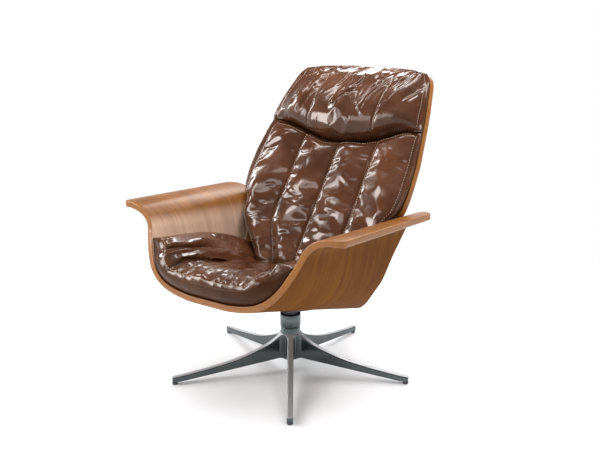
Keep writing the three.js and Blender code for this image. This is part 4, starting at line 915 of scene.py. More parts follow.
class ROCKER_OT_star_base(PieceOperator):
    """Five upright blades on a bored hub, polished, their top edges brushed and in a lighter tone, a painted highlight
    """
    bl_idname = "rocker.star_base"
    bl_label = "Star base"

    def execute(self, context):
        base = context.scene.rocker_base
        bore, radius, bottom, top = base.hub_bore, base.hub_radius, base.hub_bottom, base.hub_top
        wide, small = 0.003, 0.001
        hub = lathe([(bore, bottom), (radius - wide, bottom), (radius - small, bottom + small),
                     (radius, bottom + wide), (radius, top - wide), (radius - small, top - small),
                     (radius - wide, top), (bore, top)])
        points = [hub.reshape(-1, 3)]
        faces = outward(points[0], [grid_quads(*hub.shape[:2], wrap_rows=True, wrap_columns=True)])
        blade, blade_faces, brushed_highlit = leg_blade(base)
        for leg in range(LEGS):
            start = len(points[0]) + leg * len(blade)
            points.append(place(blade, Matrix.Rotation(leg_angle(leg), 4, "Z")))
            faces += [block + start for block in blade_faces]
        made = new_object("star_base_polished", np.concatenate(points) + POST, faces,
                          [finish("polished"), finish("satin_highlight")], closed=False)
        hub_faces = np.zeros(len(made.data.polygons) - LEGS * len(brushed_highlit))
        set_slots(made, np.concatenate((hub_faces, np.tile(brushed_highlit, LEGS))))
        soften(made, 40)
        stands_for(made, "base", "polished_base", "base_casting")
        return {"FINISHED"}


def leg_blade(base):
    """One blade along X: at each station a rounded rectangle between the swept top edge and the straight underside,
    whose width flares by a quarter circle into the hub and whose last stations draw in round the tip. Returns its
    points, its faces, and which of these are its top edge."""
    under = base.glide_height + base.running_gap
    end = base.foot_radius + base.leg_end
    reach = end - base.hub_radius
    edge = base.leg_edge
    flat_start = base.foot_radius - base.glide_radius - base.leg_end
    x = np.concatenate((np.linspace(base.hub_bore + 0.004, base.hub_radius + base.fillet, 12)[:-1],
                        np.linspace(base.hub_radius + base.fillet, end - edge, 70)[:-1],
                        end - edge + edge * np.sin(np.linspace(0, math.pi / 2, 6))))
    out = np.clip((x - base.hub_radius) / reach, 0, 1)
    rise = read_rows(LEG_TOP_SHARES, np.linspace(0, len(LEG_TOP_SHARES) - 1, 200))
    top = under + base.leg_tip + np.interp(out, rise[:, 0], rise[:, 1]) * (base.leg_root - under - base.leg_tip)
    foot = np.interp(x, (base.hub_bore, flat_start), (base.leg_root_foot, under))
    half = base.leg_width / 2 * (1 - base.leg_narrowing * out)
    near = np.clip(1 - (x - base.hub_radius) / base.fillet, 0, 1)
    half = half + base.fillet * (1 - np.sqrt(1 - near ** 2))
    draw = edge - np.sqrt(np.clip(edge ** 2 - np.clip(x - (end - edge), 0, edge) ** 2, 0, None))
    corner = np.linspace(0, math.pi / 2, CORNER_STEPS)
    loop = []
    for quarter, (sy, sz) in enumerate(((1, 1), (-1, 1), (-1, -1), (1, -1))):
        angle = corner + quarter * math.pi / 2
        radius = base.leg_crown if sz > 0 else edge
        level = (top - draw if sz > 0 else foot + draw)[:, None]
        y = sy * (half - draw)[:, None] + (radius * (np.cos(angle) - sy))[None, :]
        z = level + (radius * (np.sin(angle) - sz))[None, :]
        loop.append(np.stack(np.broadcast_arrays(x[:, None], y, z), -1))
    loops = np.concatenate(loop, axis=1)
    points, faces = loops.reshape(-1, 3), tube_faces(*loops.shape[:2])
    side = np.arange(len(faces[0])) % loops.shape[1]
    # Faces of the top edge, which wear the satin tone: a brushed finish and a painted highlight.
    brushed_highlit = np.abs(side - (CORNER_STEPS - 1)) <= CORNER_STEPS // 2
    return points, outward(points, faces), np.append(brushed_highlit, (False, False))


class ROCKER_OT_collar(PieceOperator):
    """Polished collar over the bearing, with a groove round its foot, and the floor glides"""
    bl_idname = "rocker.collar"
    bl_label = "Collar and glides"

    def execute(self, context):
        base = context.scene.rocker_base
        low = base.hub_top + base.running_gap
        high = low + base.collar_height
        outer, bore = base.collar_radius, base.collar_bore
        rings = [(bore, low), (outer - 0.0018, low), (outer - 0.0016, low + 0.0022), (outer - 0.0004, low + 0.0034),
                 (outer, low + 0.0048), (outer, high - 0.0030), (outer - 0.0008, high - 0.0009),
                 (outer - 0.0028, high), (bore + 0.0010, high), (bore, high - 0.0010)]
        post = Matrix.Translation(Vector(POST))
        made = turned("collar_polished", rings, finish("polished"), post, ring_closed=True)
        soften(made, 40)
        stands_for(made, "base", "polished_base", "hub_collar")
        radius, height, stem, stem_length = base.glide_radius, base.glide_height, 0.004, 0.013
        rings = [(radius - 0.0022, 0), (radius - 0.0008, 0.0005), (radius, 0.0020), (radius, height - 0.0012),
                 (radius - 0.0004, height - 0.0003), (radius - 0.0014, height), (stem, height),
                 (stem, height + stem_length)]
        for leg in range(LEGS):
            way = leg_angle(leg)
            spot = Vector((base.foot_radius * math.cos(way), POST[1] + base.foot_radius * math.sin(way), 0))
            made = turned(f"glide_{leg + 1}_moulded", rings, finish("nylon"), Matrix.Translation(spot), segments=40)
            soften(made, 40)
            stands_for(made, "base", "nylon", f"glide_{leg + 1}")
        return {"FINISHED"}


class ROCKER_OT_mechanism(PieceOperator):
    """Spindle, bearing, rocker bracket, seat plate, stops and the back's brackets"""
    bl_idname = "rocker.mechanism"
    bl_label = "Rocker mechanism"

    def execute(self, context):
        dress(("swivel_spindle", "rocker_bracket", "seat_plate", "back_bracket_right", "back_bracket_left"), "black")
        dress(("lower_race", "ball_cage", "upper_race", "spindle_washer", "retaining_ring", "pivot_axle",
               "axle_clip", "nut_plate_right", "nut_plate_left", *(f"tee_nut_{k}" for k in range(1, 5))), "zinc")
        dress(("lower_bush", "upper_bush", "front_lower_spring_seat", "rear_lower_spring_seat",
               "front_upper_spring_seat", "rear_upper_spring_seat", "pivot_bush_right", "pivot_bush_left"), "nylon")
        dress(("front_bumper", "rear_bumper", "back_pad_right", "back_pad_left"), "rubber")
        return {"FINISHED"}


class ROCKER_OT_springs(PieceOperator):
    """Four springs between the rocker bracket and the seat plate"""
    bl_idname = "rocker.springs"
    bl_label = "Springs"

    def execute(self, context):
        slope = slope_matrix()
        for node in (f"{end}_{hand}_spring" for end in ("front", "rear") for hand in ("right", "left")):
            points, faces, foot, head = self.coil(context.scene.rocker_base, *node_box(node, slope))
            made = new_object(f"{node}_coil", place(points, slope), faces, finish("zinc"))
            soften(made, 60)
            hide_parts(node)
            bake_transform(made, "swivel", "seat", place(foot, slope), place(head, slope))
        return {"FINISHED"}

    @staticmethod
    def coil(base, low, high, steps_a_turn=40, sides=12):
        """A helix between two heights about a box's middle line, as a round wire: points, faces and both ends."""
        wire, steps = base.spring_wire, steps_a_turn * base.spring_turns
        x, y = (low + high)[:2] / 2
        turn = np.linspace(0, 2 * math.pi * base.spring_turns, steps + 1)
        height = np.linspace(low[2] + wire, high[2] - wire, steps + 1)
        out = np.stack((np.cos(turn), np.sin(turn), 0 * turn), -1)
        angle = (np.arange(sides) * 2 * math.pi / sides)[None, :, None]
        middle = out * base.spring_radius + np.stack((x + 0 * turn, y + 0 * turn, height), -1)
        tube = middle[:, None] + wire * (np.cos(angle) * out[:, None] + np.sin(angle) * np.array((0, 0, 1.0)))
        return (tube.reshape(-1, 3), tube_faces(steps + 1, sides), np.array((x, y, low[2] + wire)),
                np.array((x, y, high[2] - wire)))


class ROCKER_OT_fasteners(PieceOperator):
    """Hexagon bolts of the seat plate, socket bolts of the brackets, and screws of the back"""
    bl_idname = "rocker.fasteners"
    bl_label = "Fasteners"

    def execute(self, context):
        slope, lean = slope_matrix(), back_matrix(context.scene.rocker_shells)
        for number in range(1, 5):
            self.bolt(f"seat_plate_bolt_{number}", slope, head=0.007, height=0.005, shank=0.004, hexagon=True)
            self.bolt(f"bracket_bolt_{number}", slope, head=0.0056, height=0.0034, shank=0.003)
        forwards = lean @ Matrix.Rotation(math.pi / 2, 4, "X")
        for screw in (f"{hand}_{number}" for hand in ("right", "left") for number in (1, 2)):
            self.bolt(f"back_screw_{screw}", forwards, head=0.0046, height=0.0022, shank=0.0022)
        return {"FINISHED"}

    @staticmethod
    def bolt(node, matrix, head, height, shank, hexagon=False, chamfer=0.0006):
        """One fastener in its node's place, its head downwards along the matrix's own Z."""
        low, high = node_box(node, matrix)
        x, y = (low + high)[:2] / 2
        bottom, top = low[2], high[2]
        if hexagon:
            rings = [(0.3 * head, bottom), (0.80 * head, bottom), (0.86 * head, bottom + chamfer),
                     (head, bottom + 2 * chamfer, 6), (head, bottom + height, 6)]
        else:
            socket = 0.52 * head
            rings = [(0.3 * socket, bottom + 0.6 * height, 6), (socket, bottom + 0.6 * height, 6),
                     (socket, bottom + 0.0002, 6), (socket + 0.0003, bottom), (0.72 * head, bottom),
                     (0.92 * head, bottom + 0.25 * height), (head, bottom + 0.7 * height), (head, bottom + height)]
        rings += [(shank, bottom + height), (shank, top - chamfer), (shank - chamfer, top)]
        made = turned(f"{node}_plated", rings, finish("zinc"), matrix @ Matrix.Translation((x, y, 0)), segments=48)
        soften(made)
        stands_for(made, body_of(frame["nodes"][node])[0], "zinc_steel", node)


def plate_loops(outline, thickness, radius, spine, rings_inside=26, turns=5):
    """Loops of flat coordinates, and of depth, for a plate with a rounded rim: from the spine out over one face,
    round the rim on offsets of the outline, and back over the other face to the spine."""
    ahead = np.roll(outline, -1, axis=0) - np.roll(outline, 1, axis=0)
    normal = np.stack((ahead[:, 1], -ahead[:, 0]), -1)
    normal /= np.linalg.norm(normal, axis=-1, keepdims=True)
    if ((outline - outline.mean(0)) * normal).sum() < 0:
        normal = -normal
    inner = outline - radius * normal
    level = np.ones(len(outline))
    loops = [(spine + (inner - spine) * k, 0 * level) for k in np.linspace(0, 1, rings_inside, endpoint=False)]
    loops += [(inner + radius * math.sin(angle) * normal, radius * (1 - math.cos(angle)) * level)
              for angle in np.linspace(0, math.pi / 2, turns)]
    loops += [(flat, thickness - depth) for flat, depth in reversed(loops)]
    return [np.array(part) for part in zip(*loops)]


class ROCKER_OT_back_shell(PieceOperator):
    """Back shell: veneered plywood bent about its own lean, with rounded edges"""
    bl_idname = "rocker.back_shell"
    bl_label = "Back shell"

    def execute(self, context):
        shells = context.scene.rocker_shells
        row = np.linspace(0, len(BACK_OUTLINE_SHARES) - 1, 200)
        up, out = read_rows(BACK_OUTLINE_SHARES, row).T
        along, wanted = up * shells.back_length, out * shells.back_half_width
        half = clear_of_walls(shells, wanted, along, back_face(shells, wanted), shells.back_ply)
        across = np.linspace(-1, 1, 61)[1:-1]
        bow = 1 - across ** 2
        outline = np.concatenate((
            np.stack((half, along), -1),
            np.stack((-across * half[-1], shells.back_length + shells.back_top_arch * bow), -1),
            np.stack((-half, along), -1)[::-1],
            np.stack((across * half[0], -shells.back_foot_arch * bow), -1)))
        step = np.linalg.norm(np.roll(outline, -1, axis=0) - outline, axis=-1)
        shortest_step, spine_low, spine_high = 0.0004, 0.10, shells.back_length - 0.12
        outline = outline[step > shortest_step]
        spine = np.stack((0 * outline[:, 0], np.clip(outline[:, 1], spine_low, spine_high)), -1)
        flat, depth = plate_loops(outline, shells.back_ply, shells.edge_radius, spine)
        wrap = np.arcsin(flat[..., 0] / shells.back_curve)
        local = np.stack((flat[..., 0] + depth * np.sin(wrap),
                          back_face(shells, flat[..., 0]) + depth * np.cos(wrap), flat[..., 1]), -1)
        rows, columns = depth.shape
        made = new_object("back_shell_plywood", place(local, back_matrix(shells)),
                          [grid_quads(rows, columns, wrap_columns=True)],
                          [finish("veneer_outer"), finish("ply_edge")])
        grain_shift = 0.37
        set_uv(made, np.stack((flat[..., 1], flat[..., 0] + grain_shift), -1).reshape(-1, 2))
        set_attribute(made, "lift", depth)
        rim_row, rim_reach = rows // 2 - 1, 3
        set_slots(made, np.repeat(np.abs(np.arange(rows - 1) - rim_row) <= rim_reach, columns))
        weld(made)
        stands_for(made, "seat", "walnut_ply", "back_shell")
        return {"FINISHED"}


class ROCKER_OT_arm_shell(PieceOperator):
    """Arm shell: one bent sheet that makes the seat, both sides and both armrests"""
    bl_idname = "rocker.arm_shell"
    bl_label = "Arm shell"

    def execute(self, context):
        shells = context.scene.rocker_shells
        thick, radius = shells.ply, shells.edge_radius
        dense = np.linspace(0, TIP_ROW, 2000)
        x, z = arm_row(shells, dense)[:2]
        run = np.concatenate(((0.0,), np.cumsum(np.hypot(np.diff(x), np.diff(z)))))
        angle = np.linspace(0, math.pi / 2, 6)
        spots = np.concatenate((np.linspace(0, run[-1] - radius, 130)[:-1], run[-1] - radius + radius * np.sin(angle)))
        half_places = np.interp(spots, run, dense)
        places = np.concatenate((-half_places[:0:-1], half_places))[:, None]
        arc = np.concatenate((-spots[:0:-1], spots))[:, None]
        to_tip = run[-1] - np.abs(arc)
        inset = radius - np.sqrt(np.clip(radius ** 2 - np.clip(radius - to_tip, 0, radius) ** 2, 0, None))
        front, rear = arm_row(shells, places)[2:4]
        front, rear, low, high = front + inset, rear - inset, inset, thick - inset
        along = np.linspace(0, 1, 44)
        y_span = front + radius + (rear - front - 2 * radius) * along
        level = np.ones_like(y_span)
        bend_in, bend_up = radius * np.sin(angle), radius * (1 - np.cos(angle))
        y, lift = (np.concatenate(part, axis=1) for part in zip(
            (y_span, low * level),
            (rear - radius + bend_in, low + bend_up),
            (rear - radius + bend_in[::-1], high - bend_up[::-1]),
            (y_span[:, ::-1], high * level),
            (front + radius - bend_in, high - bend_up),
            (front + radius - bend_in[::-1], low + bend_up[::-1])))
        rows, columns = y.shape
        made = new_object("arm_shell_plywood", arm_point(shells, places, y, lift) + POST, tube_faces(rows, columns),
                          [finish("veneer_outer"), finish("ply_edge"), finish("veneer")])
        grain_slant, wander = -0.14, 0.008 * waves(arc, y, 61, 0.20, 0.50)
        uv = np.stack(np.broadcast_arrays(arc - grain_slant * y, y + grain_slant * arc + wander), -1)
        set_uv(made, uv.reshape(-1, 2))
        set_attribute(made, "lift", lift)
        row = np.abs(places)
        # The attribute pale marks where the painted sheen goes: the walls' inner faces, between the seat and the
        # armrests.
        sheen_share, on_wall = 0.9, smooth_step(row, 5.0, 8.0) * (1 - smooth_step(row, 12.0, 14.0))
        set_attribute(made, "pale", sheen_share * on_wall * (lift > thick / 2))
        rear_edge, front_edge = len(along) + 2 * len(angle) - 2, 2 * (len(along) + len(angle)) + 1
        kind = np.full(columns, OUTER)
        kind[len(along) + 1:rear_edge] = kind[front_edge:-2] = EDGE
        kind[rear_edge:front_edge] = INNER
        walls = np.tile(kind, (rows - 1, 1))
        tip_rows = len(angle) - 2
        walls[:tip_rows] = walls[-tip_rows:] = EDGE
        set_slots(made, np.append(walls, (EDGE, EDGE)))
        weld(made)
        stands_for(made, "seat", "walnut_ply", "arm_shell")
        return {"FINISHED"}


def seam_columns(counts):
    """Evenly spaced columns for each panel between two seams: panel numbers and shares across the panel."""
    panel = np.concatenate([np.full(count, k) for k, count in enumerate(counts)] + [[len(counts) - 1]])
    across = np.concatenate([np.arange(count) / count for count in counts] + [[1.0]])
    return panel.astype(int), across


def between_seams(lines, panel, part):
    """Distance from the middle of each grid column: straight between the two seams of its panel."""
    low, high = (np.take_along_axis(np.stack(lines), panel[None, None, :] + k, 0)[0] for k in (0, 1))
    return low + (high - low) * part


def inner_seams(counts):
    """Columns of the seams between the panels, once the sheet has been made twice as fine."""
    return 2 * np.cumsum(counts)[:-1]


def strokes(u, v, seed, count, box, heading, spread, halves, widths, depths, bend=6.0):
    """Single folds at random places in a box: each runs along a slightly bent line as a groove between two raised
    lips, (2q^2 - 1) e^(-q^2) across it, where q is the distance over its width, and dies out as e^(-p^4) along it,
    where p is the run over its half length."""
    rng = np.random.default_rng(seed)
    total = np.zeros(np.broadcast(u, v).shape)
    for _ in range(count):
        turn = heading + rng.normal(0, spread)
        du, dv = u - rng.uniform(box[0], box[1]), v - rng.uniform(box[2], box[3])
        along = du * math.cos(turn) + dv * math.sin(turn)
        aside = dv * math.cos(turn) - du * math.sin(turn) - rng.normal(0, bend) * along ** 2
        p, q = along / rng.uniform(*halves), aside / rng.uniform(*widths)
        total += rng.uniform(*depths) * rng.choice((1.0, 1.0, -0.7)) * (2 * q * q - 1) * np.exp(-q * q - p ** 4)
    return total


class ROCKER_OT_back_cushion(PieceOperator):
    """Back cushion: four upright channels between stitched seams"""
    bl_idname = "rocker.back_cushion"
    bl_label = "Back cushion"

    def execute(self, context):
        shells, cushions = context.scene.rocker_shells, context.scene.rocker_cushions
        row = np.linspace(0, 1, BACK_ROWS)[:, None]
        panel, part = seam_columns(CHANNEL_COLUMNS)
        foot, roll = cushions.foot_gap, cushions.end_roll

        def spread(along):
            half = seam_half_width(shells, cushions, along)
            seam = np.minimum(cushions.channel, 0.55 * half)
            return half, between_seams((-half, -seam, 0 * half, seam, half), panel, part)

        guess = foot + row * (cushions.crease + cushions.crease_lift - foot)
        top = crease_height(shells, cushions, spread(guess)[1]) - cushions.parting / 2
        along = foot + row * (top - foot)
        half, u = spread(along)
        low_end, high_end = np.clip((along - foot) / roll, 0, 1), np.clip((top - along) / roll, 0, 1)
        ends = np.sqrt(low_end * (2 - low_end) * high_end * (2 - high_end))
        puff = np.sqrt(np.sin(math.pi * part))[None, :]
        middle = 1 - (u / half) ** 2
        depth = (cushion_depth(cushions, along) + cushions.channel_puff * puff * ends
                 - cushions.valley * middle - 0.5 * roll * (1 - ends))
        thinnest = 0.004
        depth = np.maximum(depth, cushions.gap + thinnest - back_face(shells, u))
        sheet = np.stack((u, -depth, along), -1)

        def folds(run_u, run_v):
            wide, tall = run_u.max(), run_v.max()
            soft = 0.0034 * waves(run_u / 1.5, run_v, 11, 0.080, 0.20)
            cross = strokes(run_u, run_v, seed=12, count=75, box=(0, wide, 0, tall), heading=0.0, spread=0.40,
                            halves=(0.016, 0.050), widths=(0.0065, 0.0140), depths=(0.0008, 0.0026))
            short = strokes(run_u, run_v, seed=13, count=90, box=(0, wide, 0, 0.55 * tall), heading=0.3, spread=0.8,
                            halves=(0.008, 0.020), widths=(0.0022, 0.0042), depths=(0.0002, 0.0006))
            return soft + cross * (1.2 - 0.6 * run_v / tall) + short

        sheet = finish_sheet("back_cushion_sheet", sheet, part % 1 == 0, puff * np.minimum(1, 3 * ends), FORWARDS,
                             folds)
        made = lean_cushion(shells, cushions, "back_cushion", sheet, bulge=0.009, height=sheet[..., 2].mean())
        columns = (*(inner_seams(CHANNEL_COLUMNS) + 1), 2, -3)
        stitch("back_cushion", sheet, FORWARDS, [*(np.s_[16:-4, c] for c in columns), np.s_[-6, 4:-4]], cushions,
               back_matrix(shells))
        return {"FINISHED"}


def finish_sheet(name, sheet, seams, fade, front, folds, pressure=1.2, slack=0.006, cap=0.006):
    """Swells a sheet as cloth, makes it twice as fine, and adds folds square to it, a function of the run across and
    up the sheet. They fade to nothing with the fade."""
    sheet = swell(name, sheet, seams, front, pressure, slack, cap)
    fine = refine(sheet)
    runs = []
    for axis in (1, 0):
        step = np.linalg.norm(np.diff(fine, axis=axis), axis=-1)
        runs.append(np.concatenate((np.zeros_like(np.take(step, [0], axis)), np.cumsum(step, axis=axis)), axis=axis))
    hold = np.clip(refine(fade[..., None]), 0, 1)
    return fine + grid_normals(fine, front) * folds(*runs)[..., None] * hold


def cushion_ring(shells, cushions, edge, share_back, bulge):
    """A loop between a back cushion's front rim and its rear face. It bulges outwards by a half sine, over the
    shell's edge where the shell stands free, and its height over the shell's face falls evenly to the gap."""
    side_start, lap, free_low, free_high = 0.9, 0.0005, 0.24, 0.34
    along = np.clip(edge[:, 2], 0, shells.back_length)
    out = smooth_step(np.abs(edge[:, 0]) / seam_half_width(shells, cushions, along), side_start, 1)
    to_edge = back_half_width(shells, along) + lap - np.abs(edge[:, 0])
    free = smooth_step(edge[:, 2], free_low, free_high)
    reach = bulge + (np.maximum(to_edge, bulge) - bulge) * free
    u = edge[:, 0] + np.sign(edge[:, 0]) * out * reach * math.sin(math.pi * share_back ** 0.7)
    over = back_face(shells, edge[:, 0]) - cushions.gap - edge[:, 1]
    return np.stack((u, back_face(shells, u) - cushions.gap - over * (1 - share_back), edge[:, 2]), -1)


def shrink_ring(shells, cushions, edge, keep):
    """A loop on a back cushion's rear face, drawn in towards its middle."""
    u = edge[:, 0] * keep
    along = edge[:, 2].mean() + (edge[:, 2] - edge[:, 2].mean()) * keep
    return np.stack((u, back_face(shells, u) - cushions.gap, along), -1)


def lean_cushion(shells, cushions, node, sheet, bulge, height=None):
    """Closes a sheet of the back into a cushion, whose sides bulge and whose rear face follows the shell. The height
    is that of the rear face's middle point, and without one it is its rim's mean."""
    edge = sheet.reshape(-1, 3)[rim_of(*sheet.shape[:2])]
    rings = [cushion_ring(shells, cushions, edge, share_back, bulge) for share_back in SIDE_STEPS]
    rings += [shrink_ring(shells, cushions, edge, keep) for keep in REAR_STEPS]
    middle = edge[:, 2].mean() if height is None else height
    points, faces = close_form(sheet, rings, (0, -cushions.gap, middle))
    made = new_object(f"{node}_leather", place(points, back_matrix(shells)), faces, finish("leather"))
    return stands_for(made, "seat", "brown_leather", node)


class ROCKER_OT_head_cushion(PieceOperator):
    """Head cushion: a full roll in three panels over the top of the back"""
    bl_idname = "rocker.head_cushion"
    bl_label = "Head cushion"

    def execute(self, context):
        shells, cushions = context.scene.rocker_shells, context.scene.rocker_cushions
        row = np.linspace(0, 1, HEAD_ROWS)[:, None]
        panel, part = seam_columns(PANEL_COLUMNS)
        top_edge = shells.back_length + cushions.head_overhang
        u = np.linspace(-1, 1, len(panel))[None, :] * shells.back_half_width
        for _ in range(3):
            low = crease_height(shells, cushions, u) + cushions.parting / 2
            flat = low + row * (top_edge - low)
            half = seam_half_width(shells, cushions, np.minimum(flat, shells.back_length))
            seam = cushions.head_channel + 0 * half
            u = between_seams((-half, -seam, seam, half), panel, part)
        along = low + row * (top_edge + shells.back_top_arch * (1 - (u / half) ** 2) - low)
        puff = np.sqrt(np.sin(math.pi * part))[None, :]
        sides = smooth_step(half - np.abs(u), 0, cushions.head_side_roll)
        full_from, thins_from, thins_by, closes_from = 0.25, 0.35, 0.95, 0.78
        crown = quarter_round(row / full_from) * (1 - thins_by * smooth_step(row, thins_from, 1))
        full = cushions.head_side_swell + (1 - cushions.head_side_swell) * sides
        depth = (cushions.head_puff * full + cushions.head_channel_puff * puff) * crown
        to_shell = cushion_depth(cushions, along) - cushions.head_edge + back_face(shells, u)
        close = smooth_step(row, closes_from, 1) * to_shell
        sheet = np.stack((u, -cushion_depth(cushions, along) - depth + close, along), -1)

        def folds(run_u, run_v):
            wide, tall = run_u.max(), run_v.max()
            soft = 0.0032 * waves(run_u, run_v / 2.4, 31, 0.050, 0.12)
            down = strokes(run_u, run_v, seed=32, count=50, box=(0, wide, 0.35 * tall, tall), heading=math.pi / 2,
                           spread=0.22, halves=(0.030, 0.080), widths=(0.006, 0.013), depths=(0.0014, 0.0034),
                           bend=3.0)
            short = strokes(run_u, run_v, seed=33, count=60, box=(0.1 * wide, 0.9 * wide, 0.05 * tall, 0.5 * tall),
                            heading=math.pi / 2, spread=0.6, halves=(0.010, 0.024), widths=(0.0024, 0.0048),
                            depths=(0.0003, 0.0008))
            return soft + down + short

        fade = puff * quarter_round(row / 0.12) * quarter_round((1 - row) / 0.10)
        sheet = finish_sheet("head_cushion_sheet", sheet, part % 1 == 0, fade, FORWARDS, folds)
        made = lean_cushion(shells, cushions, "head_cushion", sheet, bulge=0.008)
        columns = (*(inner_seams(PANEL_COLUMNS) + 1), 2, -3)
        stitch("head_cushion", sheet, FORWARDS, [np.s_[4:-3, c] for c in columns], cushions, back_matrix(shells))
        return {"FINISHED"}


def arch(value, low, high):
    """Nothing at both limits and one in their middle: half a sine to the power 0.65."""
    return np.maximum(np.sin(math.pi * np.clip((value - low) / (high - low), 0, 1)), 0) ** 0.65


def seat_lay(shells, cushions, across, row, top):
    """Points of the seat cushion's top or underside: across is the share of its width, which follows the arm
    shell's table up the walls, and row the share of its depth. Its top has a swelled middle and, on each side, a
    bolster that starts as two rolls and runs on as one. Its rear edge meets the back's lean, found in a few steps."""
    cover, cover_swell, side_round, rise_run, fill = 0.567, 0.039, 0.36, 0.045, 0.65
    at = across * TIP_ROW * (cover + cover_swell * np.sin(math.pi * row))
    lean, foot = shells.back_lean, shell_heights(shells)[2]
    out, run = np.abs(across), row * (shells.front_reach + shells.back_foot_reach)
    low, high = cushions.low_fold, cushions.high_fold
    side = quarter_round((1 - out) / side_round)
    crown = cushions.boxing + cushions.crown * quarter_round(run / cushions.roll)
    split = np.where(out < high, arch(out, low, high), arch(out, high, 1))
    rolls = split + (arch(out, low, 1) - split) * smooth_step(row, 0.25, 0.6)
    puff = np.where(out < low, arch(out, -low, low), rolls)
    puff = (puff + (1 - puff) * fill * smooth_step(row, 0.35, 0.85)) * quarter_round(run / rise_run)
    lift = shells.ply + cushions.gap + top * (cushions.edge + (crown - cushions.edge) * side
                                              + cushions.seat_puff * puff)
    nose = cushions.overhang * (1 - smooth_step(out, 0.45, 0.95))
    ahead = top * nose - (1 - top) * cushions.boxing_setback
    behind = top * cushions.side_setback * smooth_step(out, 0.6, 1)
    front = arm_row(shells, at)[2] - ahead + behind
    rear = np.zeros(np.broadcast(across, row).shape)
    for _ in range(6):
        spot = arm_point(shells, at, rear, lift)
        along = (spot[..., 2] - foot) / math.cos(lean)
        rear = (shells.back_foot_reach + along * math.sin(lean)
                + (back_face(shells, spot[..., 0]) - cushions.parting) / math.cos(lean))
    return arm_point(shells, at, front + (rear - front) * row, lift)


class ROCKER_OT_seat_cushion(PieceOperator):
    """Seat cushion: a puffed middle, gathered behind its front seam, and two bolsters that climb the shell's walls"""
    bl_idname = "rocker.seat_cushion"
    bl_label = "Seat cushion"

    def execute(self, context):
        shells, cushions = context.scene.rocker_shells, context.scene.rocker_cushions
        across = np.linspace(-1, 1, SEAT_COLUMNS)[None, :]
        row = np.linspace(0, 1, SEAT_ROWS)[:, None]
        sheet = seat_lay(shells, cushions, across, row, 1.0)

        def folds(run_u, run_v):
            wide, tall = run_u.max(), run_v.max()
            soft = 0.0024 * waves(run_u, run_v / 1.5, 51, 0.06, 0.17)
            ribs = strokes(run_u, run_v, seed=52, count=12, box=(0.16 * wide, 0.84 * wide, 0.05, 0.22),
                           heading=math.pi / 2, spread=0.3, halves=(0.045, 0.120), widths=(0.0080, 0.0140),
                           depths=(0.0008, 0.0022), bend=2.0)
            deep = strokes(run_u, run_v, seed=53, count=24, box=(0, wide, 0.1, tall), heading=math.pi / 2,
                           spread=0.5, halves=(0.020, 0.070), widths=(0.006, 0.012), depths=(0.0004, 0.0009),
                           bend=4.0)
            return soft + self.gathers(run_u, run_v) + ribs + deep

        fade = (smooth_step(row, 0, 0.035) * quarter_round((1 - row) / 0.06)
                * quarter_round((1 - np.abs(across)) / 0.08))
        sheet = finish_sheet("seat_cushion_sheet", sheet, [0, -1], fade, UPWARDS, folds, slack=0.003, cap=0.004)
        rows, columns = sheet.shape[:2]
        rim = rim_of(rows, columns)
        edge = sheet.reshape(-1, 3)[rim]
        rim_a, rim_r = (part.ravel()[rim] for part in np.meshgrid(np.linspace(-1, 1, columns),
                                                                  np.linspace(0, 1, rows)))
        under = seat_lay(shells, cushions, rim_a, rim_r, 0.0)
        band_bulge = (rim_r < 1e-6)[:, None] * 0.006 * np.array(FORWARDS)
        rings = [edge + (under - edge) * down + band_bulge * math.sin(math.pi * down)
                 for down in (0.06, 0.2, 0.4, 0.6, 0.8, 1.0)]
        rings += [seat_lay(shells, cushions, rim_a * keep, 0.5 + (rim_r - 0.5) * keep, 0.0)
                  for keep in (0.85, 0.55, 0.25)]
        centre = seat_lay(shells, cushions, np.zeros(1), np.full(1, 0.5), 0.0)[0]
        points, faces = close_form(sheet, rings, centre)
        made = new_object("seat_cushion_leather", points + POST, faces, [finish("leather"), finish("leather_band")])
        set_slots(made, np.arange(len(made.data.polygons)) >= (rows - 1) * (columns - 1))
        stands_for(made, "seat", "brown_leather", "seat_cushion")
        stitch("seat_cushion", sheet, UPWARDS, [np.s_[2, 4:-4]], cushions, Matrix.Translation(Vector(POST)))
        return {"FINISHED"}

    @staticmethod
    def gathers(run_u, run_v, pitch=0.040, depth=0.0056, reach=0.17):
        """Ridges that fan out from the front seam: e^(-(sin/0.6)^2) of the run aside over the pitch, bent by slow
        waves, of uneven height, and dying out as e^(-(v/reach)^2) up the sheet."""
        aside = run_u - run_u[:, -1:] / 2
        fan = aside + run_v * (0.25 + 0.4 * np.tanh(aside / 0.2))
        fan = fan + 0.010 * waves(aside, 0.5 * run_v, 54, 0.08, 0.20)
        ridge = np.exp(-(np.sin(math.pi * fan / pitch) / 0.6) ** 2) - 0.4
        uneven = np.clip(0.8 + 0.5 * waves(aside, 0.3 * run_v, 55, 0.05, 0.12), 0.3, 1.3)
        return depth * ridge * uneven * np.exp(-(run_v / reach) ** 2)


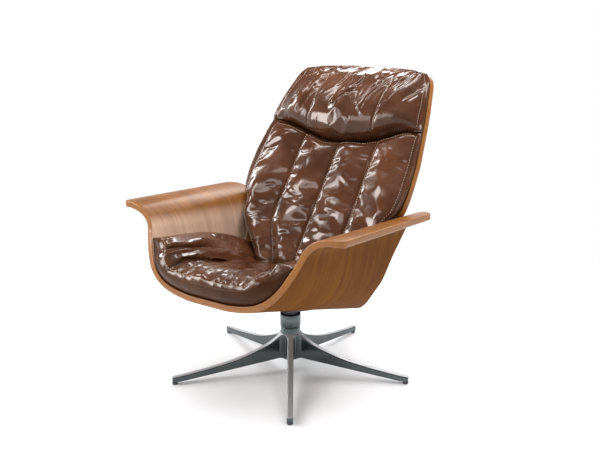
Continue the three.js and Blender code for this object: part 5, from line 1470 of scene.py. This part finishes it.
class ROCKER_OT_stage(PieceOperator):
    """Camera, pale floor and soft lamps"""
    bl_idname = "rocker.stage"
    bl_label = "Stage"

    def execute(self, context):
        scene, stage = context.scene, context.scene.rocker_stage
        lens = bpy.data.cameras.new("camera")
        lens.lens, lens.sensor_width = stage.lens, 36.0
        lens.clip_end = 200.0
        camera = bpy.data.objects.new("camera", lens)
        camera.location = stage.camera
        camera.rotation_euler = Vector(stage.aim).to_track_quat("-Z", "Y").to_euler()
        scene.collection.objects.link(camera)
        scene.camera = camera
        self.floor(stage)
        self.sky(scene, stage)
        # Name, place, the point that it faces, width and height, and glow
        lamps = (
            ("lamp_left", (-2.2, -1.8, 1.9), (0.0, 0.0, 0.5), (0.85, 1.6), 13.0),
            ("lamp_front", (-0.9, -2.7, 2.6), (0.0, 0.0, 0.6), (2.0, 1.1), 4.2),
            ("lamp_overhead", (0.3, 0.3, 2.6), (0.0, 0.0, 0.3), (3.2, 3.0), 3.9),
            ("lamp_strip", (-0.3, 0.5, 2.4), (0.0, 0.0, 0.6), (1.8, 0.22), 13.0),
            ("lamp_side", (-2.5, 0.15, 1.8), (0.0, 0.0, 0.7), (0.22, 1.4), 19.0),
            ("lamp_right", (2.7, -0.2, 1.7), (0.0, 0.0, 0.5), (0.5, 1.4), 3.0),
            ("lamp_rear", (-0.75, 2.3, 2.2), (0.0, 0.0, 0.4), (2.0, 0.5), 9.5),
        )
        for name, spot, target, size, glow in lamps:
            light = bpy.data.lights.new(name, "AREA")
            light.shape = "RECTANGLE"
            light.size, light.size_y = size
            light.energy = glow * math.pi * size[0] * size[1] * stage.lamps
            lamp = bpy.data.objects.new(name, light)
            lamp.location = spot
            lamp.rotation_euler = (Vector(target) - Vector(spot)).to_track_quat("-Z", "Y").to_euler()
            scene.collection.objects.link(lamp)
        # The widest lamp would lie on the leather as one flat patch
        bpy.data.objects["lamp_overhead"].visible_glossy = False
        scene.view_settings.view_transform = "Standard"
        return {"FINISHED"}

    @staticmethod
    def floor(stage, radius=2.0, sides=64):
        """A pale disc that fades out a few metres from the chair."""
        made, shader, tree = start_finish("floor", {"Base Color": linear(stage.floor), "Roughness": 0.9,
                                                    "Specular IOR Level": 0.0})
        far = add(tree, "ShaderNodeVectorMath", {0: object_place(tree)}, operation="LENGTH").outputs["Value"]
        clear = add(tree, "ShaderNodeBsdfTransparent").outputs[0]
        fade = add(tree, "ShaderNodeMixShader", {0: span(tree, far, 0.9, 1.8, 0.0, 1.0), 1: shader.outputs[0],
                                                 2: clear})
        tree.links.new(fade.outputs[0], tree.nodes["Material Output"].inputs["Surface"])
        turn = np.arange(sides) * 2 * math.pi / sides
        points = np.stack((radius * np.cos(turn), radius * np.sin(turn), 0 * turn), -1)
        new_object("floor", points, [np.arange(sides)[None, :]], made, smooth=False, closed=False)

    @staticmethod
    def sky(scene, stage):
        """White to a little over the horizon, and dimmer towards the top, as a studio's ceiling."""
        world = scene.world or bpy.data.worlds.new("sky")
        scene.world = world
        world.use_nodes = True
        tree = world.node_tree
        tree.nodes.clear()
        heading = add(tree, "ShaderNodeTexCoord").outputs["Generated"]
        height = add(tree, "ShaderNodeSeparateXYZ", {0: heading}).outputs["Z"]
        light = span(tree, height, 0.10, 0.38, 1.0, stage.sky)
        glow = add(tree, "ShaderNodeBackground", {"Color": (1, 1, 1, 1), "Strength": light})
        add(tree, "ShaderNodeOutputWorld", {"Surface": glow.outputs[0]})


class ROCKER_PT_panel(Panel):
    """Sizes, finishes and the operators that build the chair"""
    bl_label = "Swivel Rocker"
    bl_idname = "ROCKER_PT_panel"
    bl_space_type = "VIEW_3D"
    bl_region_type = "UI"
    bl_category = "Swivel Rocker"

    def draw(self, context):
        for group in GROUPS:
            box = self.layout.box()
            settings = getattr(context.scene, group)
            for name in settings.__annotations__:
                box.prop(settings, name)
        for operator in OPERATORS:
            self.layout.operator(operator.bl_idname)


GROUPS = {"rocker_shells": RockerShells, "rocker_cushions": RockerCushions, "rocker_base": RockerBase,
          "rocker_finishes": RockerFinishes, "rocker_stage": RockerStage}
OPERATORS = (ROCKER_OT_star_base, ROCKER_OT_collar, ROCKER_OT_mechanism, ROCKER_OT_springs, ROCKER_OT_fasteners,
             ROCKER_OT_arm_shell, ROCKER_OT_back_shell, ROCKER_OT_seat_cushion, ROCKER_OT_back_cushion,
             ROCKER_OT_head_cushion, ROCKER_OT_stage)


def register():
    """Registers the classes and hangs their settings on the scene."""
    for name, group in GROUPS.items():
        bpy.utils.register_class(group)
        setattr(bpy.types.Scene, name, PointerProperty(type=group))
    for made in (*OPERATORS, ROCKER_PT_panel):
        bpy.utils.register_class(made)


def unregister():
    """Takes the classes and their settings away again."""
    for made in reversed((*OPERATORS, ROCKER_PT_panel)):
        bpy.utils.unregister_class(made)
    for name, group in GROUPS.items():
        delattr(bpy.types.Scene, name)
        bpy.utils.unregister_class(group)


def main():
    register()
    for operator in OPERATORS:
        group, name = operator.bl_idname.split(".")
        getattr(getattr(bpy.ops, group), name)()


if __name__ == "__main__":
    main()
